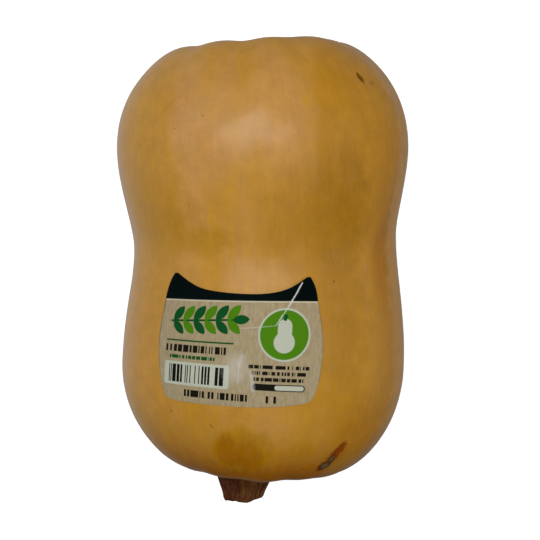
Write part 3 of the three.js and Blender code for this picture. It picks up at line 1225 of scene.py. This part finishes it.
@dataclass(frozen=True)
class LabelPaper:
    """Coated label paper: a brown kraft look, printed, with a low gloss that shows each crease."""

    kraft: str = "#b0a17f"
    fibre: str = "#988767"
    black: str = "#030d0d"
    # The text's ink, which also paints the shadow along the sheet's side edges.
    text_and_edge_shadow: str = "#191812"
    cream: str = "#c9c0a4"
    dark_green: str = "#0e4f21"
    light_green: str = "#4c8112"
    pale: str = "#bcc0ae"
    # The pale of ink worn off at the creases, which also paints the glare below the middle.
    paled: str = "#d6d5cf"
    roughness: float = 0.6
    specular: float = 0.02
    fibre_size: float = 1.2
    fibre_squeeze: float = 0.35
    fibre_detail: float = 5.0
    fibre_roughness: float = 0.7
    fibre_start: float = 0.35
    fibre_full: float = 0.7
    bump_depth: float = 0.03
    uv_span: float = 80.0

    def material(self) -> bpy.types.Material:
        """Builds the printed paper's material.

        Returns:
            The material.
        """
        material, tree = new_material("coated_label_paper")
        flat = add_node(tree, "UVMap", uv_map="flat")[0]
        middle = (0.5, 0.5, 0.0)
        centred = add_node(tree, "VectorMath", {0: flat, 1: middle}, operation="SUBTRACT")[0]
        at = add_node(tree, "VectorMath", {0: centred, "Scale": self.uv_span}, operation="SCALE")[0]
        upright = (1.0, self.fibre_squeeze, 1.0)
        drawn = add_node(tree, "VectorMath", {0: at, 1: upright}, operation="MULTIPLY")[0]
        look = {"Scale": 1 / self.fibre_size, "Detail": self.fibre_detail}
        look["Roughness"] = self.fibre_roughness
        fibres = add_node(tree, "TexNoise", {"Vector": drawn, **look})["Fac"]
        limits = {"From Min": self.fibre_start, "From Max": self.fibre_full}
        design = Print(tree, linear(self.kraft), at)
        design.lay(add_node(tree, "MapRange", {"Value": fibres, **limits})[0], linear(self.fibre))
        self.print_design(design)
        self.print_wear_and_glare(design, fibres)
        # Painted shadow: a dark, ragged line of the text's ink along the sheet's left and right edges.
        edge_shadow = add_node(tree, "Attribute", attribute_name="edge_shadow")["Fac"]
        painted_edge_shadow = add_node(tree, "Math", {0: edge_shadow, 1: fibres}, operation="MULTIPLY")[0]
        design.lay(painted_edge_shadow, linear(self.text_and_edge_shadow))
        surface = {"Roughness": self.roughness, "Specular IOR Level": self.specular}
        finish_surface(tree, {"Base Color": design.colour, **surface}, fibres, self.bump_depth)
        return material

    def print_design(self, design: Print) -> None:
        """Prints the band, the leaf sprig, the round badge, the bars and the rows of strokes.

        Args:
            design: The sheet's inks, to print on.
        """
        design.panel((0.0, 25.6), (80.0, 20.0), 0.1, self.cream)
        design.panel((0.0, 26.1), (80.0, 20.0), 0.1, self.black)
        self.print_sprig(design)
        self.print_badge(design)
        design.panel((-14.4, 0.4), (27.5, 0.6), 0.2, self.dark_green)
        design.bars((-15.6, -2.5), (25.0, 2.7), {5.1: 0.9, 0.46: 0.62}, self.text_and_edge_shadow, 6.0)
        design.bars((-17.4, -5.7), (21.0, 1.3), {2.9: 0.9, 0.33: 0.68}, self.dark_green, 6.0)
        design.panel((-14.9, -11.9), (26.5, 8.6), 0.8, self.pale)
        design.bars((-14.9, -11.9), (23.4, 6.6), {0.4: 0.5}, self.text_and_edge_shadow, 3.0)
        for row in range(3):
            centre, size = (16.2, -7.4 - 2.2 * row), (22.0 - 2.0 * row, 1.3)
            design.bars(centre, size, {2.9: 0.9, 0.33: 0.66}, self.text_and_edge_shadow, 8.0 + row)
        design.panel((16.4, -14.6), (19.0, 2.4), 1.2, self.text_and_edge_shadow)
        design.panel((20.2, -14.6), (10.6, 1.7), 0.8, self.pale)
        design.bars((-1.0, -19.0), (36.0, 2.6), {5.3: 0.92, 0.46: 0.62}, self.text_and_edge_shadow, 12.0)

    def print_sprig(self, design: Print) -> None:
        """Prints a sprig: a stalk with leaves in pairs, dark and light in turn.

        Args:
            design: The sheet's inks, to print on.
        """
        design.panel((-13.6, 8.4), (26.0, 0.8), 0.3, self.dark_green, turn=3.0)
        for number in range(6):
            base = (-25.4 + 4.4 * number, 7.8 + 0.22 * number)
            ink = self.dark_green if number % 2 == 0 else self.light_green
            design.leaf(base, 7.2, 3.4, 52.0, ink)
            design.leaf(base, 6.8, 3.2, -46.0, ink)
        design.leaf((-1.6, 9.0), 6.2, 3.4, 4.0, self.dark_green)

    def print_badge(self, design: Print) -> None:
        """Prints a round badge with a pale gourd in it.

        Args:
            design: The sheet's inks, to print on.
        """
        centre = (17.4, 4.2)
        design.panel(centre, (19.0, 19.0), 9.5, self.pale)
        design.panel(centre, (17.6, 17.6), 8.8, self.light_green)
        design.panel((17.4, 1.5), (7.6, 7.6), 3.8, self.pale)
        design.panel((17.4, 6.2), (5.2, 7.4), 2.6, self.pale)
        design.panel((17.4, 10.3), (1.3, 2.2), 0.3, self.dark_green, turn=-14.0)

    def print_wear_and_glare(self, design: Print, fibres: Socket) -> None:
        """Rubs the ink off along the creases, and paints the glare below the middle as paled ink.

        Args:
            design: The sheet's inks.
            fibres: The noise of the paper's fibres.
        """
        for pale_patch in (*(crease.pale_patch() for crease in CREASES), *PAINTED_GLARE):
            design.pale_ink(pale_patch, fibres, self.paled)


# ---------------------------------------------------------------- the pieces


SCAR_RINGS = (Ring(5.2, -0.5, 0.7), Ring(0.0, 0.6, 0.9))
COLLAR_RINGS = (Ring(13.6, 0.7, 1.3), Ring(11.6, -0.6, 0.8))


@dataclass
class Fruit:
    """The fruit: one grown body, with its skin, blemishes and blossom scar."""

    shape: SquashShape
    finish: Rind = field(default_factory=Rind)
    segments: int = 288
    rings: int = 192
    fine_reach: float = 3.0
    fine_cuts: int = 2

    waves: Bumps = Bumps(0.18, 24.0, 3.0)
    ripples: Bumps = Bumps(0.05, 7.0, 9.0)
    mark_full: float = 0.15
    mark_start: float = 0.75
    disc_height: float = 0.5
    disc_radius: float = 3.6
    disc_edge: float = 4.6
    disc_grain: Bumps = Bumps(0.25, 1.1, 21.0)
    grain_radius: float = 4.0
    grain_edge: float = 5.5

    def build(self) -> Piece:
        """Builds and dresses the fruit.

        Returns:
            The piece.
        """
        bpy.ops.object.select_all(action="DESELECT")
        bpy.ops.mesh.primitive_uv_sphere_add(segments=self.segments, ring_count=self.rings, radius=1.0)
        piece = bpy.context.object
        piece.name = piece.data.name = "squash_fruit"
        self.refine(piece)
        self.form(piece)
        bpy.ops.object.shade_smooth()
        piece.data.materials.append(self.finish.material(self.shape))
        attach(piece, "root")
        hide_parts("fruit")
        return piece

    def own_places(self, piece: Piece) -> tuple[np.ndarray, np.ndarray]:
        """Finds each vertex's own place on the skin, while the piece is still a ball.

        Args:
            piece: The ball.

        Returns:
            The angle round the axis in radians, and the distance along the skin in millimetres.
        """
        ball = points_of(piece)
        ball /= np.linalg.norm(ball, axis=1)[:, None]
        angle = np.arctan2(ball[:, 0], ball[:, 1])
        share = np.arccos(np.clip(-ball[:, 2], -1, 1)) / math.pi
        return angle, share * self.shape.total

    def refine(self, piece: Piece) -> None:
        """Splits the faces round each blemish that has relief into finer ones.

        Args:
            piece: The ball.
        """
        angle, distance = self.own_places(piece)
        near = np.zeros(len(angle), bool)
        for mark in MARKS:
            if mark.depth:
                away, _ = self.distance_to(mark, angle, distance)
                near |= away < self.fine_reach + mark.width
        piece.data.polygons.foreach_set("select", np.zeros(len(piece.data.polygons), bool))
        piece.data.edges.foreach_set("select", np.zeros(len(piece.data.edges), bool))
        piece.data.vertices.foreach_set("select", near)
        for polygon in piece.data.polygons:
            polygon.select = all(near[v] for v in polygon.vertices)
        with editing("FACE"):
            bpy.ops.mesh.subdivide(number_cuts=self.fine_cuts)

    def distance_to(
        self, mark: Mark, angle: np.ndarray, distance: np.ndarray
    ) -> tuple[np.ndarray, np.ndarray]:
        """How far each vertex is from a blemish's stroke, and how near it is to its ends.

        Args:
            mark: The blemish.
            angle: The angle of each vertex, in radians.
            distance: Its distance along the skin.

        Returns:
            The distance in millimetres, and 0 at the stroke's middle to 1 at its ends.
        """
        scale, start, run = mark.stroke(self.shape)
        unrolled = np.column_stack([np.degrees(angle), distance - self.shape.crest_distance, 0 * angle])
        return stroke_distance(unrolled * np.array(scale), start, run)

    def form(self, piece: Piece) -> None:
        """Moves every vertex of the ball to its place on the skin.

        Args:
            piece: The ball.
        """
        angle, distance = self.own_places(piece)
        places = self.shape.skin(angle, distance, self.relief(angle, distance))
        places[:, 2] = np.maximum(places[:, 2], 0.0)
        move_points(piece, places)
        girth = self.shape.blossom_lobe_radius
        grown = np.column_stack([girth * np.sin(angle), girth * np.cos(angle), distance])
        store_vectors(piece, "grown", grown * MM)

    def relief(self, angle: np.ndarray, distance: np.ndarray) -> np.ndarray:
        """How far the skin stands out or lies in at each vertex.

        Args:
            angle: The angle of each vertex, in radians.
            distance: Its distance along the skin.

        Returns:
            The height of each, in millimetres.
        """
        plain = self.shape.skin(angle, distance, 0.0) / MM
        height = self.waves.relief(plain) + self.ripples.relief(plain)
        for mark in MARKS:
            if mark.depth:
                away, end = self.distance_to(mark, angle, distance)
                away = away + 0.5 * mark.taper * mark.width * end
                out = smooth(away, self.mark_full * mark.width, self.mark_start * mark.width)
                height -= mark.depth * (1 - out)
        height += sum(ring.relief(distance) for ring in COLLAR_RINGS)
        return height + self.scar_relief(plain, self.shape.total - distance)

    def scar_relief(self, plain: np.ndarray, out: np.ndarray) -> np.ndarray:
        """The corky disc of the blossom scar, with its ring and its middle point.

        Args:
            plain: The places of the vertices, in millimetres.
            out: How far along the skin each is from the scar's middle.

        Returns:
            The height of each, in millimetres.
        """
        disc = self.disc_height * (1 - smooth(out, self.disc_radius, self.disc_edge))
        grain = self.disc_grain.relief(plain) * (1 - smooth(out, self.grain_radius, self.grain_edge))
        return disc + grain + sum(ring.relief(out) for ring in SCAR_RINGS)


@dataclass
class Stem:
    """The cut stalk: flared at the fruit, with five strong ridges and a rough slanting cut."""

    shape: SquashShape
    finish: Stalk = field(default_factory=Stalk)
    sides: int = 200
    rows: int = 28
    cut_rings: int = 7

    base_radius: float = 13.2
    cut_radius: float = 7.2
    flare: float = 1.3
    sunk: float = 1.0
    aside: float = 0.55
    main_ridges: int = 5
    main_ridge: float = 0.07
    fine_ridge: float = 0.035
    fine_ridge_turn: float = 1.0
    twist: float = 0.12

    fibre_girth: float = 9.0
    fibre_length: float = 2.5
    fibres: tuple[Bumps, ...] = (Bumps(0.30, 1.1, 5.0), Bumps(0.16, 0.5, 15.0))
    rim_round: float = 0.07
    rim_reach: float = 0.07
    rim_bumps: Bumps = Bumps(0.15, 2.0, 31.0)
    rim_bumps_reach: float = 0.15

    cut_along: float = -12.4
    cut_slant: float = 0.17
    cut_bulge: float = 0.8
    cut_bulge_x: float = 1.5
    cut_bulge_half_width: float = 3.0
    cut_hollow: float = 1.1
    cut_hollow_reach: float = 0.42
    cut_bumps: tuple[Bumps, ...] = (Bumps(0.5, 2.4, 41.0), Bumps(0.25, 0.8, 43.0))
    cut_calm: float = 0.65
    cut_calm_from: float = 0.7
    bark_from: float = 0.86
    bark_full: float = 0.99

    def build(self) -> Piece:
        """Builds and dresses the stem.

        Returns:
            The piece.
        """
        bpy.ops.object.select_all(action="DESELECT")
        bpy.ops.mesh.primitive_cylinder_add(
            vertices=self.sides, radius=1.0, depth=2.0, end_fill_type="NGON"
        )
        piece = bpy.context.object
        piece.name = piece.data.name = "squash_stem"
        self.add_rows(piece)
        self.add_cut_rings(piece)
        self.form(piece)
        bpy.ops.object.shade_smooth()
        piece.data.materials.append(self.finish.material())
        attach(piece, "root")
        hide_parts("stem")
        return piece

    def add_rows(self, piece: Piece) -> None:
        """Cuts the side of the cylinder into rows.

        Args:
            piece: The cylinder.
        """
        ends = points_of(piece)[:, 2]
        with editing("EDGE"):
            bpy.ops.mesh.select_all(action="DESELECT")
        for edge in piece.data.edges:
            low, high = edge.vertices
            edge.select = bool(abs(ends[low] - ends[high]) > 1.0)
        with editing("EDGE"):
            bpy.ops.mesh.subdivide(number_cuts=self.rows - 1)

    def add_cut_rings(self, piece: Piece) -> None:
        """Insets each end of the cylinder into rings.

        Args:
            piece: The cylinder.
        """
        for side in (1, -1):
            with editing("FACE"):
                bpy.ops.mesh.select_all(action="DESELECT")
            for polygon in piece.data.polygons:
                polygon.select = len(polygon.vertices) > 4 and polygon.normal.z * side > 0.9
            with editing("FACE"):
                for _ in range(self.cut_rings):
                    bpy.ops.mesh.inset(thickness=1 / (self.cut_rings + 1))
                bpy.ops.mesh.poke()

    def form(self, piece: Piece) -> None:
        """Moves the vertices of the cylinder to the flared, ridged and roughly cut stalk.

        Args:
            piece: The cylinder. It stands on its cut end, so its height is a share of the way
                from the cut to the fruit.
        """
        start = points_of(piece)
        angle = np.arctan2(start[:, 0], start[:, 1])
        share = (start[:, 2] + 1) / 2
        out = np.hypot(start[:, 0], start[:, 1])
        on_cut = (share < 0.001).astype(float)
        ridge = self.ridge(angle + self.twist * (1 - share))
        girth = self.fibre_girth * np.column_stack([np.sin(angle), np.cos(angle)])
        fibre = np.column_stack([girth, self.fibre_length * share])
        groove = sum(bumps.relief(fibre) for bumps in self.fibres)
        rounded = self.rim_round * (1 - smooth(share, 0.0, self.rim_reach))
        radius = self.cut_radius + (self.base_radius - self.cut_radius) * share**self.flare
        wide = (radius * (1 + ridge - rounded) + groove) * out
        x, z = wide * np.sin(angle), wide * np.cos(angle)
        base_along = self.shape.seat_depth + self.sunk
        bulge = self.cut_bulge * bell(x - self.cut_bulge_x, self.cut_bulge_half_width)
        along = self.cut_along + (base_along - self.cut_along) * share
        along = along + (x * self.cut_slant - bulge) * (1 - share)
        along = along + on_cut * self.cut_relief(x, z, out)
        near_rim = (1 - on_cut) * (1 - smooth(share, 0.0, self.rim_bumps_reach))
        along = along + near_rim * self.rim_bumps.relief(fibre)
        move_points(piece, self.shape.lay_down(x + self.shape.seat_offset + self.aside, along, z))
        store_vectors(piece, "grown", np.column_stack([girth, along]) * MM)
        store_values(piece, "ridge", (ridge - ridge.min()) / (ridge.max() - ridge.min()))
        store_values(piece, "cut", on_cut * (1 - smooth(out, self.bark_from, self.bark_full)))

    def ridge(self, angle: np.ndarray) -> np.ndarray:
        """How much wider than its mean radius the stalk is at an angle, as a share."""
        main = self.main_ridge * np.cos(self.main_ridges * angle)
        return main + self.fine_ridge * np.cos(2 * self.main_ridges * angle + self.fine_ridge_turn)

    def cut_relief(self, x: np.ndarray, z: np.ndarray, out: np.ndarray) -> np.ndarray:
        """How far the cut face is sunk, rough and hollow in the middle.

        Args:
            x: How far each of its vertices is to the right.
            z: How far it is up.
            out: How far out it is, as a share of the radius.

        Returns:
            The depth of each, in millimetres.
        """
        face = np.column_stack([x, z, 0 * x])
        uneven = sum(bumps.relief(face) for bumps in self.cut_bumps)
        calm = self.cut_calm * smooth(out, self.cut_calm_from, 1.0)
        return self.cut_hollow * bell(out, self.cut_hollow_reach) + uneven * (1 - calm)


@dataclass
class Label:
    """The paper label, wrapped over the stem half of the fruit.

    Its outline is given flat, in millimetres from its middle. Its ears are its two upper corners
    and its feet are its two lower ones.
    """

    shape: SquashShape
    finish: LabelPaper = field(default_factory=LabelPaper)
    columns: int = 150
    rows: int = 110
    edge_steps: int = 60

    degrees: float = -10.5
    from_crest: float = 64.3
    lift: float = 0.22
    thickness: float = 0.14
    print_turn: float = 1.4
    smooth_angle: float = 50.0

    left_ear: Place = (-25.7, 27.4)
    right_ear: Place = (26.1, 24.5)
    left_foot: Place = (-28.8, -18.6)
    right_foot: Place = (29.6, -17.4)
    top: tuple[Place, ...] = ((-13.5, 20.8), (4.8, 18.5), (17.0, 19.7))
    bottom: tuple[Place, ...] = ((-24.5, -21.6), (4.9, -22.4), (25.2, -20.6))
    left_side: tuple[Place, ...] = ((-31.2, -9.6), (-32.1, 1.5), (-30.4, 16.0), (-28.6, 22.9))
    right_side: tuple[Place, ...] = ((31.4, -9.6), (32.0, 1.0), (29.8, 14.4), (28.5, 20.3))
    ear_round: float = 0.014
    ear_start: float = 0.96
    foot_round: float = 0.04
    foot_start: float = 0.9

    # How dark the painted shadow along the sheet's side edges is.
    rim_shade: float = 1.1
    left_rim_start: float = 0.004
    left_rim_end: float = 0.014
    right_rim_start: float = 0.994
    bubbles: Bumps = Bumps(0.05, 9.0, 2.0)
    crease_spread: float = 1.1
    tent_height: float = 0.35
    tent_half_width: float = 4.0

    def build(self) -> Piece:
        """Builds and dresses the label.

        Returns:
            The piece.
        """
        bpy.ops.object.select_all(action="DESELECT")
        bpy.ops.mesh.primitive_grid_add(x_subdivisions=self.columns, y_subdivisions=self.rows, size=1.0)
        piece = bpy.context.object
        piece.name = piece.data.name = "squash_label"
        right, up = (points_of(piece)[:, :2] + 0.5).T
        flat = self.sheet(right, up)
        self.map_flat(piece, flat)
        self.wrap(piece, flat)
        # Painted shadow: marks the sheet's left and right edges for a dark line in its material.
        at_left = 1 - smooth(right, self.left_rim_start, self.left_rim_end)
        at_right = smooth(right, self.right_rim_start, 1.0)
        store_values(piece, "edge_shadow", self.rim_shade * np.maximum(at_left, at_right))
        solid = piece.modifiers.new("paper", "SOLIDIFY")
        solid.thickness = self.thickness * MM
        solid.offset = -1.0
        bpy.ops.object.modifier_apply(modifier=solid.name)
        bpy.ops.object.shade_smooth_by_angle(angle=math.radians(self.smooth_angle))
        piece.data.materials.append(self.finish.material())
        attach(piece, "root")
        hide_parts("label")
        return piece

    def edge(
        self, start: Place, between: tuple[Place, ...], end: Place, share: np.ndarray
    ) -> np.ndarray:
        """Follows a smooth edge from one corner to another through the points between.

        Args:
            start: The first corner.
            between: The points that the edge passes.
            end: The last corner.
            share: Where on the edge, from 0 to 1 of its length.

        Returns:
            Rows of the places there.
        """
        knots = np.array([start, *between, end])
        ends = np.vstack([knots[0], knots, knots[-1]])
        steps = np.linspace(0, 1, self.edge_steps)[:, None]
        line = []
        for i in range(len(knots) - 1):
            p0, p1, p2, p3 = ends[i:i + 4]
            leave, arrive = (p2 - p0) / 2, (p3 - p1) / 2
            cubic = 2 * (p1 - p2) + leave + arrive
            square = 3 * (p2 - p1) - 2 * leave - arrive
            line.append(cubic * steps**3 + square * steps**2 + leave * steps + p1)
        curve = np.vstack(line)
        distance = np.concatenate([[0], np.cumsum(np.hypot(*np.diff(curve, axis=0).T))])
        at = share * distance[-1]
        return np.column_stack([np.interp(at, distance, curve[:, i]) for i in (0, 1)])

    def sheet(self, right: np.ndarray, up: np.ndarray) -> np.ndarray:
        """Spreads the flat sheet between its four edges, with its corners rounded.

        Args:
            right: How far rightwards each place is, as a share of the sheet.
            up: How far upwards.

        Returns:
            Rows of the places, in millimetres.
        """
        to_side = np.abs(2 * right - 1)
        up = up - self.ear_round * up * smooth(to_side, self.ear_start, 1.0)
        up = up + self.foot_round * (1 - up) * smooth(to_side, self.foot_start, 1.0)
        top = self.edge(self.left_ear, self.top, self.right_ear, right)
        bottom = self.edge(self.left_foot, self.bottom, self.right_foot, right)
        left_side = self.edge(self.left_foot, self.left_side, self.left_ear, up)
        right_side = self.edge(self.right_foot, self.right_side, self.right_ear, up)
        right, up = right[:, None], up[:, None]
        low = (1 - right) * np.array(self.left_foot) + right * np.array(self.right_foot)
        high = (1 - right) * np.array(self.left_ear) + right * np.array(self.right_ear)
        corners = (1 - up) * low + up * high
        return (1 - up) * bottom + up * top + (1 - right) * left_side + right * right_side - corners

    def map_flat(self, piece: Piece, flat: np.ndarray) -> None:
        """Writes the sheet's own coordinates, square to its print, as its UV map.

        Args:
            piece: The piece.
            flat: Rows of the flat places of its vertices.
        """
        cos, sin = math.cos(math.radians(self.print_turn)), math.sin(math.radians(self.print_turn))
        turned = flat @ np.array([[cos, sin], [-sin, cos]])
        layer = piece.data.uv_layers[0]
        layer.name = "flat"
        corner = np.zeros(len(piece.data.loops), int)
        piece.data.loops.foreach_get("vertex_index", corner)
        layer.data.foreach_set("uv", (turned / self.finish.uv_span + 0.5)[corner].ravel())

    def wrap(self, piece: Piece, flat: np.ndarray) -> None:
        """Wraps the sheet round the skin, with its creases.

        Args:
            piece: The piece.
            flat: Rows of the flat places of its vertices.
        """
        distance = self.shape.crest_distance + self.from_crest + flat[:, 1]
        angle = math.radians(self.degrees) + flat[:, 0] / self.shape.radius_at(distance)
        move_points(piece, self.shape.skin(angle, distance, self.lift + self.creases(flat)))

    def creases(self, flat: np.ndarray) -> np.ndarray:
        """How far the sheet stands off the skin at its creases and bubbles.

        Args:
            flat: Rows of the flat places of its vertices.

        Returns:
            The height of each, in millimetres.
        """
        places = np.column_stack([flat, 0 * flat[:, 0]])
        height = self.bubbles.height + self.bubbles.relief(places)
        for crease in CREASES:
            start, end = Vector((*crease.start, 0.0)), Vector((*crease.end, 0.0))
            away, _ = stroke_distance(places, start, end - start)
            fold = bell(away, self.crease_spread * crease.width)
            tent = self.tent_height * bell(away, self.tent_half_width)
            height = height + crease.height * (fold + tent)
        return height


# ---------------------------------------------------------------- the studio


@dataclass(frozen=True)
class SoftBox:
    """A soft light: which way it lies from the squash, how wide it looks and how bright it is.

    It leans so many degrees from straight up, to the right and to the far end, and measures so
    many degrees across and along as the squash sees it. Its radiance is in watts per square metre
    and steradian. A fill light has no shine: nothing mirrors it. A light may be turned, clockwise
    as the squash sees it.
    """

    name: str
    lean_right: float
    lean_far: float
    across: float
    along: float
    radiance: float
    shine: bool = True
    turn: float = 0.0


SOFT_BOXES = (
    SoftBox("window_light", -13.5, 14.0, 36.0, 23.0, 5.3, turn=14.0),
    SoftBox("window_side_light", 11.0, 8.5, 7.0, 23.0, 5.3, turn=14.0),
    SoftBox("far_left_light", -35.0, 35.0, 40.0, 40.0, 0.72),
    SoftBox("low_left_light", -70.0, 22.0, 40.0, 40.0, 0.75),
    SoftBox("right_light", 40.0, 10.0, 40.0, 40.0, 0.86, shine=False),
    SoftBox("low_right_light", 68.0, 22.0, 40.0, 40.0, 1.5, shine=False),
    SoftBox("front_light", 12.0, -58.0, 50.0, 30.0, 1.45, shine=False),
)


@dataclass(frozen=True)
class Studio:
    """A pale floor, soft lights and a camera that looks straight down."""

    axis_height: float = 57.0
    camera_distance: float = 600.0
    camera_x: float = 2.95
    camera_y: float = 1.11
    view_width: float = 210.6
    sensor: float = 36.0
    clip_start: float = 10.0
    floor_size: float = 9000.0
    floor_colour: str = "#a8a8a7"
    floor_glow: float = 0.88
    backdrop_radius: float = 4200.0
    backdrop_colour: str = "#000000"
    backdrop_glow: float = 0.9
    backdrop_segments: int = 64
    light_height: float = 100.0
    light_distance: float = 1100.0
    sky_strength: float = 0.13
    ground_strength: float = 0.66
    horizon: float = 0.1
    right_share: float = 0.38
    right_limits: Place = (-0.9, 0.3)
    near_share: float = 0.08
    near_limits: Place = (-0.7, 0.0)

    def build(self) -> None:
        """Makes the floor, the backdrop, the lights, the world and the camera."""
        bpy.ops.object.select_all(action="DESELECT")
        bpy.ops.mesh.primitive_plane_add(size=self.floor_size * MM, location=(0, 0, 0))
        self.stage("studio_floor", self.floor_colour, self.floor_glow)
        bpy.ops.mesh.primitive_uv_sphere_add(
            segments=self.backdrop_segments,
            ring_count=self.backdrop_segments // 2,
            radius=self.backdrop_radius * MM,
        )
        bpy.ops.object.shade_smooth()
        self.stage("studio_backdrop", self.backdrop_colour, self.backdrop_glow)
        for box in SOFT_BOXES:
            self.make_light(box)
        self.make_world()
        self.make_camera()

    def stage(self, name: str, colour: str, glow: float) -> None:
        """Makes the active object a pale sheet of the studio, which lends the squash no light.

        Args:
            name: What the sheet is called.
            colour: Its own colour, which takes the shadows.
            glow: How much it glows, as a share of white.
        """
        sheet = bpy.context.object
        sheet.name = name
        material, tree = new_material("matt_paper_" + name)
        matt = {"Base Color": linear(colour), "Roughness": 1.0, "IOR": 1.0}
        glowing = {"Emission Color": linear("#ffffff"), "Emission Strength": glow}
        shader = add_node(tree, "BsdfPrincipled", {**matt, **glowing})
        add_node(tree, "OutputMaterial", {"Surface": shader[0]})
        sheet.data.materials.append(material)
        sheet.visible_diffuse = sheet.visible_glossy = sheet.visible_shadow = False

    def make_light(self, box: SoftBox) -> None:
        """Makes a soft light that faces the squash.

        Args:
            box: The light.
        """
        right, far = (math.tan(math.radians(angle)) for angle in (box.lean_right, box.lean_far))
        towards = Vector((right, far, 1.0)).normalized()
        middle = Vector((0.0, 0.0, self.light_height * MM))
        bpy.ops.object.light_add(type="AREA", location=middle + towards * self.light_distance * MM)
        light = bpy.context.object
        light.name = box.name
        turn = Quaternion((0.0, 0.0, 1.0), -math.radians(box.turn))
        light.rotation_euler = ((-towards).to_track_quat("-Z", "Y") @ turn).to_euler()
        reach = 2 * self.light_distance * MM
        sizes = [reach * math.tan(math.radians(angle / 2)) for angle in (box.across, box.along)]
        light.data.shape = "RECTANGLE"
        light.data.size, light.data.size_y = sizes
        light.data.energy = box.radiance * math.pi * sizes[0] * sizes[1]
        light.visible_glossy = box.shine

    def make_world(self) -> None:
        """Makes the faint light from all round, stronger from the ground, the left and the far end."""
        world = bpy.data.worlds.new("studio_light")
        world.use_nodes = True
        world.node_tree.nodes.clear()
        tree = world.node_tree
        right, far, up = add_node(tree, "SeparateXYZ", {0: add_node(tree, "TexCoord")["Generated"]})
        limits = {"From Min": -self.horizon, "From Max": self.horizon}
        strengths = {"To Min": self.ground_strength, "To Max": self.sky_strength}
        strength = add_node(tree, "MapRange", {"Value": up, **limits, **strengths})[0]
        for value, (low, high), low_share, high_share in (
            (right, self.right_limits, 1.0, self.right_share),
            (far, self.near_limits, self.near_share, 1.0),
        ):
            limits = {"From Min": low, "From Max": high, "To Min": low_share, "To Max": high_share}
            side = add_node(
                tree, "MapRange", {"Value": value, **limits}, interpolation_type="SMOOTHSTEP"
            )[0]
            strength = add_node(tree, "Math", {0: strength, 1: side}, operation="MULTIPLY")[0]
        sky = add_node(tree, "Background", {"Color": linear("#ffffff"), "Strength": strength})
        add_node(tree, "OutputWorld", {"Surface": sky[0]})
        bpy.context.scene.world = world
        bpy.context.scene.view_settings.view_transform = "Standard"

    def make_camera(self) -> None:
        """Makes the camera, straight above the squash with its stem at the bottom."""
        height = self.axis_height + self.camera_distance
        bpy.ops.object.camera_add(
            location=Vector((self.camera_x, self.camera_y, height)) * MM, rotation=(0, 0, 0)
        )
        camera = bpy.context.object
        camera.name = "camera"
        camera.data.sensor_width = self.sensor
        camera.data.lens = self.sensor * self.camera_distance / self.view_width
        camera.data.clip_start = self.clip_start * MM
        bpy.context.scene.camera = camera


def write_sizes() -> None:
    """Updates the view layer."""
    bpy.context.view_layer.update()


def main() -> None:
    """Builds the pieces in order and reports each."""
    logging.basicConfig(level=logging.INFO, format="%(message)s")
    shape = SquashShape()
    for part in (Fruit(shape), Stem(shape), Label(shape)):
        piece = part.build()
        log.info("%s: %d faces", piece.name, len(piece.data.polygons))
    Studio().build()
    write_sizes()


if __name__ == "__main__":
    main()
